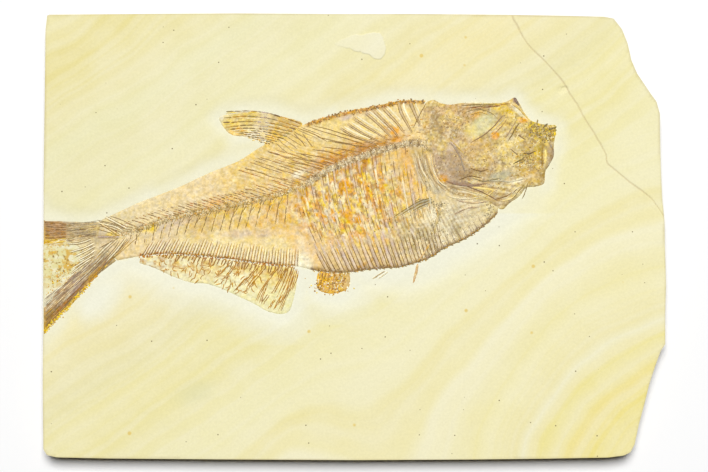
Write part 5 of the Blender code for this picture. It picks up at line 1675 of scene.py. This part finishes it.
    def fin_supports(self) -> Bones:
        """Sets rods inside the body over the anal fin and under the dorsal fin."""
        bones = self.gather("fin_supports", 6)
        count = ANAL_SUPPORT_COUNT * 3 // 2
        for i in range(count):
            share = (i + 0.5) / count
            foot, _ = along(self.relief.belly, 0.06 + 0.4 * (1 - share))
            lean = np.array([0.02 + 0.55 * share, 1.0])
            lean /= np.hypot(*lean)
            length = (9.5 - 1.5 * share) * bones.rng.uniform(0.7, 1.05)
            path = np.linspace(foot + (0.0, 0.4), foot + lean * length, 10)
            bones.bar(path, 0.2, 0.3, [Tint.UMBER, (Tint.PLUM, Tint.RUST, Tint.BARK)[i % 3]],
                      (1.3, 0.3), 0.1, blend=0.1)
            bones.bar(path + (0.72, 0.0), 0.26, 0.24, [(Tint.CREAM, Tint.LILAC)[i % 2], Tint.CREAM],
                      (1.0, 0.3), 0.1, blend=0.25)
        for i in range(DORSAL_SUPPORT_COUNT):
            share = i / (DORSAL_SUPPORT_COUNT - 1)
            foot = np.array([-25.2 - 11.5 * share, 51.6 - 7.6 * share])
            tip = foot + turned(np.array([1.0, 0.0]), -22 - 20 * share) * (10.5 - 3.0 * share)
            bones.bar(np.linspace(foot, tip, 8), 0.2, 0.32, [Tint.UMBER, Tint.ASH],
                      (1.0, 0.6), 0.15, blend=0.3)
        return bones

    def scutes(self) -> Bones:
        """Runs beads of small shields along the nape and along the belly's keel."""
        bones = self.gather("scutes", 7)
        nape = self.relief.back[self.relief.back[:, 0] > -24.0]
        spots = resample(offset_path(nape, 0.9), self.NAPE_GRAINS)
        spots = spots + bones.rng.normal(0.0, 0.55, spots.shape)
        gap = np.abs(spots[:, 0] - spot_of((418.5, 100))[0]) > 1.3
        bones.crumbs(spots[gap], (0.28, 0.6), [Tint.GOLD, Tint.UMBER, Tint.BARK, Tint.RUST,
                                               Tint.OCHRE, Tint.AMBER], 0.1, blend=0.1)
        keel = offset_path(self.relief.belly[self.relief.belly[:, 0] > -20.0], 0.9)
        spots = resample(keel, self.KEEL_GRAINS)
        spots = spots + bones.rng.normal(0.0, 0.5, spots.shape)
        bones.crumbs(spots, (0.2, 0.45),
                     [Tint.OLIVE, Tint.UMBER, Tint.ASH, Tint.LILAC, Tint.OCHRE, Tint.GOLD], 0.1)
        for i in range(self.KEEL_POINTS):
            foot, ahead = along(keel, 0.03 + 0.95 * i / self.KEEL_POINTS)
            point = foot + turned(ahead, -60) * 1.3
            bones.bar(np.array([foot - ahead * 1.2, point]), 0.26, 0.3, [Tint.OLIVE, Tint.UMBER],
                      (1.2, 0.3), 0.05, short=True, blend=0.2)
        for i in range(2 * CHEST_SCUTE_COUNT):
            foot, _ = along(keel, 0.42 + 0.52 * i / (2 * CHEST_SCUTE_COUNT))
            top = foot + (-2.4, 7.5 - 0.12 * i)
            tints = ([Tint.ASH, Tint.PLUM], [Tint.CREAM, Tint.SAND])[i % 2]
            bones.bar(np.linspace(foot, top, 8), 0.24, 0.3, tints, (1.3, 0.4), 0.25, blend=0.3)
        return bones

    def breast(self) -> Bones:
        """Lays the shoulder girdle, the breast plates and the reddish spine below."""
        bones = self.gather("breast_bones", 8)
        for line, width, tint in self.BREAST:
            bones.bar(drawn(line), width, 0.5, [tint, Tint.SAND],
                      (0.8, 0.5), 0.2, blend=0.15)
        mixed, dark = [Tint.ASH, Tint.TAUPE, Tint.CREAM, Tint.SAND], [Tint.SOOT, Tint.OLIVE]
        for centre, spread, count, tints in (
                ((468, 214), (9.5, 5.5), 200, mixed), ((434, 150), (2.4, 0.6), 26, dark),
                ((440, 206), (1.4, 1.2), 40, dark), ((438, 215), (0.9, 2.2), 70, dark),
                ((434, 228), (0.8, 2.4), 40, dark), ((420, 245), (5.0, 4.0), 90, dark),
                ((445, 240), (6.0, 3.0), 70, dark), ((493, 214), (2.0, 2.5), 60, dark)):
            spots = spot_of(centre) + bones.rng.normal(0.0, 1.0, (count, 2)) * spread
            inside = self.relief.trunk.depth(spots[:, 0], spots[:, 1]) > 0.8
            bones.crumbs(spots[inside], (0.16, 0.4), tints)
        return bones

    def build(self) -> list[tuple[bpy.types.Object, str]]:
        """Builds every group of bones; all of them stand for the trunk."""
        groups = (self.backbone, self.ribs, self.nape_bars, self.neural_spines,
                  self.haemal_spines, self.fin_supports, self.scutes, self.breast)
        return [(group().build(), "trunk") for group in groups]


class Skull:
    """The crushed bones of the head, with a painted shadow along the gill cover's right edge."""

    # Line in pixels, half width in millimetres, and tints.
    STROKES = [
        ([(503, 115.6), (494, 126), (485, 134), (471, 142.5)], 0.3, (Tint.PLUM, Tint.UMBER)),
        ([(505.5, 117), (497, 127), (488, 135)], 0.3, (Tint.CREAM, Tint.SAND)),
        ([(507, 119), (500, 128), (490, 137)], 0.25, (Tint.PLUM, Tint.OCHRE)),
        ([(519.6, 122.3), (514, 131), (508.4, 141)], 0.35, (Tint.OLIVE, Tint.UMBER)),
        ([(516, 121), (511, 129), (506, 138)], 0.3, (Tint.PLUM, Tint.SAND)),
        ([(518, 134), (514.7, 144.7)], 0.35, (Tint.STRAW, Tint.CREAM)),
        ([(518, 135), (526, 140)], 0.25, (Tint.PLUM, Tint.UMBER)),
        ([(464.3, 107.6), (480.4, 108.1), (497.6, 105.3), (511, 103)], 0.22,
         (Tint.PLUM, Tint.RUST)),
        ([(463, 114), (472, 110), (482, 109.6), (492, 113), (498, 119)], 0.2,
         (Tint.OLIVE, Tint.SAND)),
        ([(470, 115), (480, 112), (489, 115)], 0.2, (Tint.STRAW, Tint.AMBER)),
        ([(514.5, 97.5), (516, 101), (519, 105.5)], 0.7, (Tint.PLUM, Tint.SOOT)),
        ([(512, 104.5), (519, 108.5), (528.5, 119.5)], 0.55, (Tint.STRAW, Tint.OCHRE)),
        ([(549, 143), (552.6, 149), (552.2, 158), (546.5, 168)], 0.5, (Tint.ASH, Tint.UMBER)),
        ([(545.5, 149.5), (545.8, 156), (544.7, 163.5)], 0.6, (Tint.STRAW, Tint.STRAW)),
        ([(542.5, 147), (542, 156), (543, 166)], 0.35, (Tint.GOLD, Tint.OLIVE)),
        ([(510.5, 148.9), (518, 155.5)], 0.22, (Tint.UMBER, Tint.PLUM)),
        # Grey-purple line from the top of the gill cover down its right edge: painted shadow along
        # the side of its dome.
        ([(450.8, 143), (456, 150), (460.7, 158.8), (464.9, 173)], 0.4, (Tint.ASH, Tint.PLUM)),
        ([(473.5, 187.6), (484, 188.6), (494, 190)], 0.6, (Tint.STRAW, Tint.STRAW)),
        ([(494, 190), (490, 194), (485, 196.5)], 0.45, (Tint.STRAW, Tint.OCHRE)),
        ([(466, 181), (474, 184)], 0.3, (Tint.LEMON, Tint.CREAM)),
        ([(527.4, 183), (526, 190), (522, 199)], 0.25, (Tint.UMBER, Tint.OLIVE)),
        ([(524, 185), (518, 192), (511, 200)], 0.25, (Tint.UMBER, Tint.OLIVE)),
        ([(521, 186), (514, 191), (506, 199)], 0.25, (Tint.CREAM, Tint.SAND)),
        ([(449, 138), (456, 145), (466, 156)], 0.3, (Tint.STRAW, Tint.OCHRE)),
        ([(523, 153), (529, 154), (536, 151)], 0.3, (Tint.SOOT, Tint.UMBER)),
        ([(513, 164), (519, 161), (525, 157)], 0.3, (Tint.SOOT, Tint.OLIVE)),
        ([(461, 105.5), (476, 104.5), (490, 104.5), (500, 105.5)], 0.2, (Tint.OLIVE, Tint.BARK)),
        ([(468, 108), (484, 106), (500, 106.5)], 0.25, (Tint.UMBER, Tint.PLUM)),
        ([(458, 188), (475, 193), (492, 200)], 0.3, (Tint.STRAW, Tint.CREAM)),
        ([(466, 186), (482, 192), (498, 201)], 0.3, (Tint.UMBER, Tint.PLUM)),
        ([(496, 199), (507, 196), (517, 189)], 0.3, (Tint.UMBER, Tint.BARK)),
        ([(500, 201), (510, 199), (520, 191)], 0.3, (Tint.STRAW, Tint.CREAM)),
        ([(459, 180), (470, 176), (482, 178)], 0.25, (Tint.BARK, Tint.UMBER)),
        ([(470, 168), (480, 171), (489, 169)], 0.25, (Tint.UMBER, Tint.BARK)),
        ([(446, 181), (458, 184.5), (471, 185.6), (487, 183.3)], 0.45, (Tint.PLUM, Tint.UMBER)),
        ([(488, 181), (500, 181), (510, 182), (527, 178)], 0.3, (Tint.CREAM, Tint.ASH)),
        ([(472, 178), (484, 181), (500, 178)], 0.3, (Tint.ASH, Tint.OLIVE)),
        ([(531, 124), (531, 121)], 0.4, (Tint.OLIVE, Tint.UMBER)),
        ([(537, 124), (538, 119.5)], 0.4, (Tint.OLIVE, Tint.UMBER)),
        ([(543, 128), (548, 123.5)], 0.4, (Tint.OLIVE, Tint.SOOT)),
        ([(549, 130), (557, 126.5)], 0.4, (Tint.OLIVE, Tint.SOOT)),
        ([(554.4, 132.5), (554.8, 135.5)], 0.7, (Tint.LEMON, Tint.LEMON)),
    ]
    # Centre and spread in pixels, count, size in millimetres, and tints, of the grains.
    GRAINS = [
        ((542, 131), (7.0, 5.0), 330, (0.2, 0.5),
         (Tint.OLIVE, Tint.GOLD, Tint.BARK, Tint.LEMON, Tint.SAND, Tint.OLIVE, Tint.SOOT)),
        ((548, 138), (3.0, 2.5), 40, (0.25, 0.5), (Tint.CREAM, Tint.SOOT, Tint.UMBER)),
        ((452, 122), (12, 9), 260, (0.16, 0.32), (Tint.UMBER, Tint.STRAW, Tint.SAND, Tint.BARK)),
        ((478, 160), (17, 9), 300, (0.16, 0.32), (Tint.BARK, Tint.SAND, Tint.UMBER, Tint.STRAW)),
        ((445, 160), (8, 12), 60, (0.16, 0.3), (Tint.PLUM, Tint.TAUPE, Tint.BARK)),
        ((498, 188), (16, 5), 120, (0.16, 0.32), (Tint.BARK, Tint.SAND, Tint.UMBER, Tint.STRAW)),
        ((525, 158), (5, 4), 90, (0.2, 0.42), (Tint.SOOT, Tint.OLIVE, Tint.UMBER, Tint.GOLD)),
        ((530, 165), (10, 9), 180, (0.2, 0.4), (Tint.GOLD, Tint.BARK, Tint.SAND, Tint.CREAM)),
        ((487, 105), (17, 1.4), 60, (0.16, 0.32), (Tint.OLIVE, Tint.TAUPE, Tint.SAND)),
        ((515, 128), (9, 9), 150, (0.16, 0.34), (Tint.SAND, Tint.BARK, Tint.CREAM, Tint.UMBER)),
    ]

    def __init__(self, relief: Relief, tools: Tools) -> None:
        """Keeps what the bones lie on and the blanks they are copied from."""
        self.relief, self.tools = relief, tools

    def build(self) -> list[tuple[bpy.types.Object, str]]:
        """Builds the head's bones and grains."""
        bones = Bones("skull_bones", self.relief, self.tools, 21)
        for line, width, tints in self.STROKES:
            bones.bar(drawn(line), width, 0.45, list(tints), (0.8, 0.6),
                      0.15, blend=0.05)
        grains = Bones("skull_grains", self.relief, self.tools, 22)
        for centre, spread, count, size, tints in self.GRAINS:
            middle = spot_of(centre)
            spots = middle + grains.rng.normal(0.0, 1.0, (count, 2)) * np.array(spread) * PIXEL
            inside = self.relief.skull.depth(spots[:, 0], spots[:, 1]) > 0.2
            eye = patch(spots[:, 0], spots[:, 1], (480, 126), (15, 9), 38) < 0.3
            grains.crumbs(spots[inside & eye], size, list(tints), 0.0, blend=0.25)
        return [(bones.build(), "skull"), (grains.build(), "skull")]


class Fins:
    """The jointed rays of the five fins."""

    # The long rays that are left in the anal fin, in pixels.
    ANAL_RAYS = [
        [(237.5, 261), (225, 279)], [(245, 262), (242.5, 271)], [(249, 274), (234, 291)],
        [(258, 264.5), (250, 276), (243, 284)], [(265, 267), (250, 284), (247, 290)],
        [(277.5, 267.5), (270, 276)], [(272.5, 274), (261, 290), (256, 301)],
        [(266, 284), (260, 302.5)], [(281, 267), (279, 279)], [(270, 292), (262, 304)],
        [(285, 268), (281, 277.5), (273, 293)], [(290, 269), (286, 280), (279, 296)],
        [(296, 267.5), (290.5, 281), (287.5, 294), (279, 312)],
        [(298, 269), (295, 282), (291, 292)],
        [(292, 276), (289, 286), (285, 295), (279, 306)], [(276, 296), (269, 308)],
        [(231, 262), (222, 273), (215, 278)], [(284, 290), (274, 309)],
    ]

    DORSAL_RAYS = 11
    ANAL_STUBS = 40
    ANAL_CURLS = 150
    ANAL_BASE_GRAINS = 230
    UPPER_TAIL_RAYS = 17
    LOWER_TAIL_RAYS = 24
    TAIL_EDGE_GRAINS = 170
    PELVIC_RAYS = 11

    def __init__(self, relief: Relief, tools: Tools) -> None:
        """Keeps what the rays lie on and the blanks they are copied from."""
        self.relief, self.tools = relief, tools

    def dorsal(self) -> Bones:
        """Fans the dorsal rays back from the top of the back."""
        rays = Bones("dorsal_rays", self.relief, self.tools, 31)
        roots = smooth_path(from_photo([(301, 124), (294, 131), (286, 138), (270, 144)]), 4)
        tips = smooth_path(from_photo([(226, 111.5), (224, 118), (224, 126), (240, 133),
                                       (256, 140)]), 4)
        for i in range(self.DORSAL_RAYS):
            share = i / (self.DORSAL_RAYS - 1)
            root, tip = along(roots, share)[0], along(tips, share ** 0.9)[0]
            path = np.linspace(root, tip, 20)
            path[:, 1] += np.sin(np.linspace(0, math.pi, 20)) * (2.6 - 2.8 * share)
            for part, tints, kept in ((path[:8], [Tint.GOLD, Tint.BARK, Tint.OLIVE], 0.95),
                                      (path[7:12], [Tint.LILAC, Tint.ASH, Tint.UMBER], 0.8),
                                      (path[11:], [Tint.BARK, Tint.OLIVE, Tint.GOLD], 0.9)):
                rays.broken(part, 0.29, 0.34, tints, 4, kept, blend=0.0)
            rays.broken(path + (0.0, -0.75), 0.26, 0.28, [Tint.CREAM, Tint.LEMON, Tint.SAND],
                        7, 0.7, blend=0.3)
        return rays

    def anal(self) -> Bones:
        """Hangs the long row of anal rays, leaning back, broken and partly lost."""
        rays = Bones("anal_rays", self.relief, self.tools, 32)
        shades = [Tint.TAWNY, Tint.BARK, Tint.TAWNY, Tint.UMBER, Tint.GOLD]
        for line in self.ANAL_RAYS:
            path = drawn(line)
            for side in (-0.45, 0.45):
                part = path[rays.rng.integers(0, 2):] + (side, rays.rng.uniform(-0.6, 0.6))
                rays.bar(part, 0.23, 0.34, [Tint.TAWNY, Tint.GOLD], (0.9, 0.6), 0.2, blend=0.05)
            rays.broken(path + (0.9, 0.3), 0.2, 0.3, shades, 5, 0.4, blend=0.1)
        for i in range(self.ANAL_STUBS):
            share = (i + 0.4) / 46
            root, _ = along(self.relief.anal_base, share * 0.98)
            step = turned(np.array([0.0, -1.0]), -18.0 - 14.0 * share + rays.rng.normal(0.0, 6.0))
            length = rays.rng.uniform(2.0, 5.5) * (1.0 - 0.3 * share)
            rays.bar(np.linspace(root, root + step * length, 8), 0.3, 0.34,
                     [Tint.TAWNY, Tint.BARK], (0.9, 0.6), 0.25, short=True, blend=0.0)
        for _ in range(self.ANAL_CURLS):
            spot = spot_of((rays.rng.uniform(150, 262), rays.rng.uniform(258, 292)))
            if self.relief.fins["anal_fin"].depth(spot[:1], spot[1:])[0] < 2.0:
                continue
            heading, bend = rays.rng.uniform(-80.0, 20.0), rays.rng.normal(0.0, 14.0)
            curl = [spot]
            for k in range(7):
                curl.append(curl[-1] + turned(np.array([0.0, -0.42]), heading + bend * k))
            rays.bar(np.array(curl), 0.27, 0.32, [Tint.TAWNY, Tint.GOLD], (0.9, 0.7), 0.1,
                     short=True, blend=0.1)
        base = self.relief.anal_base
        spots = resample(base, self.ANAL_BASE_GRAINS) + (0.0, 0.3)
        spots = spots + rays.rng.normal(0.0, 0.6, spots.shape)
        rays.crumbs(spots, (0.25, 0.55), [Tint.TAWNY, Tint.GOLD, Tint.UMBER, Tint.RUST], 0.1,
                    blend=0.0)
        return rays

    def tail(self) -> Bones:
        """Fans the tail's rays: two dense lobes and fragments in the fork."""
        rays = Bones("tail_rays", self.relief, self.tools, 33)
        # Rays differ in their number of joints, so that the joints don't line up.
        for i in range(self.UPPER_TAIL_RAYS):
            share = i / (self.UPPER_TAIL_RAYS - 1)
            root = spot_of((97, 221 + 16 * share))
            tip = spot_of((44, 221 + 24 * share))
            path = np.linspace(root, tip, 20)
            path[:, 1] -= np.sin(np.linspace(0, math.pi, 20)) * 1.2 * (1 - share)
            tints = [Tint.OLIVE, Tint.ASH, Tint.BARK, Tint.SAND, Tint.UMBER]
            rays.broken(path[:12], 0.22, 0.3, tints, 2 + i * 3 % 4, 0.9, blend=0.1)
            tints = [Tint.UMBER, Tint.TAWNY, Tint.BARK] if share < 0.8 else [Tint.GOLD, Tint.LEMON]
            rays.broken(path[11:], 0.24, 0.3, tints, 1 + i * 3 % 4, 0.95, blend=0.1)
        for i in range(self.LOWER_TAIL_RAYS):
            share = i / (self.LOWER_TAIL_RAYS - 1)
            root = spot_of((115 - 18 * share, 256 - 2 * share))
            bend = spot_of((99 - 17 * share, 273 - 5 * share))
            tip = spot_of((44, 331 - 32 * share))
            path = smooth_path([tuple(root), tuple(bend), tuple(tip)], 10)
            tints = [Tint.PLUM, Tint.UMBER, Tint.BARK, Tint.SAND, Tint.ASH, Tint.CREAM]
            if share < 0.3:
                tints = [Tint.GOLD, Tint.OLIVE, Tint.RUST, Tint.UMBER, Tint.BARK]
            rays.broken(path, 0.22, 0.3, tints, 3 + i * 3 % 5, 0.93, blend=0.1)
        for line in (
                [(91, 239), (80, 243), (66, 244)], [(94, 243), (84, 248), (70, 252)],
                [(95, 246), (86, 251), (74, 257)], [(95, 250), (88, 255), (78, 260)],
                [(94, 255), (84, 261), (73, 268)], [(91, 259), (82, 265), (70, 274)]):
            rays.outlined(drawn(line, 5), 0.5, Tint.CREAM, Tint.BARK)
        for spread, count, tints in (
                ((3.0, 1.6), 200, [Tint.GOLD, Tint.AMBER, Tint.LEMON, Tint.UMBER, Tint.OCHRE]),
                ((6.0, 4.0), 170, [Tint.OCHRE, Tint.LEMON, Tint.MOSS, Tint.GOLD, Tint.CREAM])):
            places = np.array([(50, 290), (55, 282), (60, 276), (67, 270), (54, 252), (74, 264)])
            middle = from_photo(places)[rays.rng.integers(0, len(places), count)]
            around = rays.rng.normal(0.0, 1.0, (count, 2)) * spread * 0.55
            spots = middle + np.array([turned(step, 42) for step in around])
            fin = self.relief.fins["tail_fin"].depth(spots[:, 0], spots[:, 1])
            inside = (fin < 0.5) & (spots[:, 0] > LEFT_LIMIT + 1.0) & (spots[:, 1] < -1.0)
            rays.crumbs(spots[inside], (0.22, 0.55), tints, -0.1, blend=0.0)
        edge = from_photo([(112, 262), (96, 278), (77, 299), (57, 320), (45, 332)])
        edge = smooth_path(edge, 6) + (-0.4, 0.5)
        rays.broken(edge, 0.45, 0.34, [Tint.GOLD, Tint.LEMON, Tint.BARK, Tint.GOLD], 20, 0.7,
                    blend=0.0)
        spots = resample(edge[len(edge) // 3:], self.TAIL_EDGE_GRAINS)
        spots = spots + rays.rng.normal(0.0, 0.45, spots.shape)
        rays.crumbs(spots, (0.25, 0.5), [Tint.LEMON, Tint.LEMON, Tint.GOLD], 0.15, blend=0.0)
        return rays

    def plates(self) -> Bones:
        """Fans the flat bones that close the backbone, and the spines before the tail."""
        bones = Bones("tail_plates", self.relief, self.tools, 34)
        fan = [
            ([(120, 236), (108, 228), (98, 222)], Tint.SAND),
            ([(120, 236), (107, 232), (97, 229)], Tint.UMBER),
            ([(119, 237), (107, 237), (97, 237)], Tint.LILAC),
            ([(119, 238), (109, 243), (99, 248)], Tint.PLUM),
            ([(114, 240), (105, 248), (97, 256)], Tint.CREAM),
            ([(118, 240), (109, 249), (100, 258)], Tint.ASH),
            ([(120, 240), (113, 250), (104, 260)], Tint.PLUM),
            ([(134, 226), (122, 220), (110, 216)], Tint.PLUM),
            ([(128, 229), (117, 223), (105, 217)], Tint.CREAM),
            ([(126, 230), (114, 224), (97, 220)], Tint.UMBER),
            ([(124, 231), (113, 226), (98, 223)], Tint.CREAM),
            ([(123, 233), (112, 229), (99, 226)], Tint.UMBER),
            ([(131, 238), (121, 250), (109, 262)], Tint.GOLD),
            ([(126, 238), (117, 250), (105, 263)], Tint.CREAM),
            ([(129, 238), (119, 250), (107, 262)], Tint.PLUM),
            ([(140, 234), (130, 244), (114, 258)], Tint.OCHRE),
            ([(118, 233), (110, 235)], Tint.LEMON), ([(120, 235), (112, 237)], Tint.GOLD),
        ]
        for line, tint in fan:
            path = drawn(line)
            if tint in (Tint.CREAM, Tint.LILAC, Tint.SAND):
                bones.outlined(path, 0.5, tint, Tint.BARK, 1.0)
            else:
                bones.bar(path, 0.22, 0.4, [tint, Tint.OLIVE], (0.7, 0.9), 0.12, blend=0.2)
        return bones

    def pelvic(self) -> Bones:
        """Lays the short golden clump of the pelvic fin."""
        rays = Bones("pelvic_rays", self.relief, self.tools, 35)
        for i in range(self.PELVIC_RAYS):
            root = spot_of((320 + 2.9 * i, 272 + 0.4 * (i % 2)))
            tip = spot_of((317 + 2.9 * i, 289 + 4 * math.sin(i * 0.35) - 0.4 * i))
            rays.broken(np.linspace(root, tip, 10), 0.32, 0.4,
                        [Tint.GOLD, Tint.RUST, Tint.OCHRE, Tint.UMBER, Tint.CREAM], 4, 0.85,
                        blend=0.05)
        middle = spot_of((332, 284))
        rays.crumbs(middle + rays.rng.normal(0.0, 1.0, (240, 2)) * (4.2, 2.6), (0.2, 0.5),
                    [Tint.GOLD, Tint.LEMON, Tint.TAWNY, Tint.CREAM, Tint.BARK, Tint.GOLD],
                    blend=0.0)
        return rays

    def pectoral(self) -> Bones:
        """Lays the thin bundle of the pectoral fin."""
        rays = Bones("pectoral_rays", self.relief, self.tools, 36)
        for line in ([(432, 197.5), (419, 201.5), (406, 209), (391, 219)],
                     [(430, 200.5), (420, 204), (409, 210), (399, 216)],
                     [(428, 203.5), (420, 207), (412, 211.5)]):
            rays.bar(drawn(line, 5), 0.26, 0.34, [Tint.BARK, Tint.OLIVE],
                     (1.2, 0.5), 0.08, blend=0.1)
            rays.bar(drawn(line, 5) + (0.2, -0.6), 0.3, 0.3,
                     [Tint.SAGE, Tint.ASH], (1.2, 0.5), 0.08, blend=0.2)
        middle = spot_of((423, 201.5))
        rays.crumbs(middle + rays.rng.normal(0.0, 1.0, (70, 2)) * (2.4, 0.9), (0.18, 0.4),
                    [Tint.OLIVE, Tint.SOOT, Tint.SAGE], blend=0.1)
        return rays

    def build(self) -> list[tuple[bpy.types.Object, str]]:
        """Builds the rays of every fin, each for its own node."""
        return [
            (self.dorsal().build(), "dorsal_fin"), (self.anal().build(), "anal_fin"),
            (self.tail().build(), "tail_fin"), (self.plates().build(), "trunk"),
            (self.pelvic().build(), "pelvic_fin"), (self.pectoral().build(), "pectoral_fin"),
        ]


@dataclass
class Studio:
    """A white board, one broad soft light and the camera straight above."""

    frame_width: float = 332.8
    lens: float = 100.0
    sensor: float = 36.0
    light_power: float = 206.0
    light_size: float = 1.7
    light_distance: float = 4.0
    light_lean: float = 20.0
    fill: float = 0.02

    def build(self) -> bpy.types.Object:
        """Sets up floor, light, fill and camera, and returns the floor."""
        bpy.ops.object.select_all(action="DESELECT")
        bpy.ops.mesh.primitive_plane_add(size=4.0, location=(0.0, 0.0, -0.0002))
        floor = bpy.context.object
        floor.name = "board"
        bpy.ops.object.transform_apply(location=True, rotation=True, scale=True)
        floor.data.materials.append(PaintedBoard().make())
        lean = math.radians(self.light_lean)
        bpy.ops.object.light_add(
            type="AREA", rotation=(-lean, 0.0, 0.0),
            location=(0.0, self.light_distance * math.sin(lean),
                      self.light_distance * math.cos(lean)))
        lamp = bpy.context.object.data
        lamp.energy, lamp.size = self.light_power, self.light_size
        world = bpy.data.worlds.new("soft white room")
        world.use_nodes = True
        sky = world.node_tree.nodes["Background"]
        sky.inputs["Color"].default_value = (1.0, 1.0, 1.0, 1.0)
        sky.inputs["Strength"].default_value = self.fill
        bpy.context.scene.world = world
        distance = self.lens / self.sensor * self.frame_width
        middle = spot_of((354.0, 236.0))
        bpy.ops.object.camera_add(
            location=(middle[0] * MM, middle[1] * MM, (FACE + distance) * MM),
            rotation=(0.0, 0.0, 0.0))
        camera = bpy.context.object
        camera.data.lens, camera.data.sensor_width = self.lens, self.sensor
        camera.data.clip_start, camera.data.clip_end = 0.01, 20.0
        bpy.context.scene.camera = camera
        bpy.context.scene.view_settings.view_transform = "Standard"
        return floor


def declare(piece: bpy.types.Object, node: str) -> None:
    """Makes a piece ride on the root and stand for a node, whose own solid is hidden."""
    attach(piece, "root")
    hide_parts(node)
    LOG.info("%s: %d faces, stands for %s", piece.name, len(piece.data.polygons), node)


def main() -> None:
    """Builds the slab, the films, the bones, the fins and the studio in order."""
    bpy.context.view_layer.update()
    relief = Relief()
    tools = Tools(
        long_bar=Stamp.bar(8, 14), short_bar=Stamp.bar(6, 4), crumb=Stamp.crumb(),
        stone=SplitLimestone().make(),
        film=MineralFinish("mineral film of a flattened body, needle-prepared",
                           1000.0, 0.16, 0.7, 0.35).make(),
        bone=MineralFinish("fossil bone, mineralised and needle-prepared",
                           1300.0, 0.2, 0.6, 0.4).make())
    slab = Slab(relief).build()
    slab.data.materials.append(tools.stone)
    declare(slab, "limestone_slab")
    for film, node in Films(relief, tools).build():
        declare(film, node)
    for group in (Skeleton(relief, tools), Skull(relief, tools), Fins(relief, tools)):
        for piece, node in group.build():
            piece.data.materials.append(tools.bone)
            declare(piece, node)
    Studio().build()


if __name__ == "__main__":
    main()
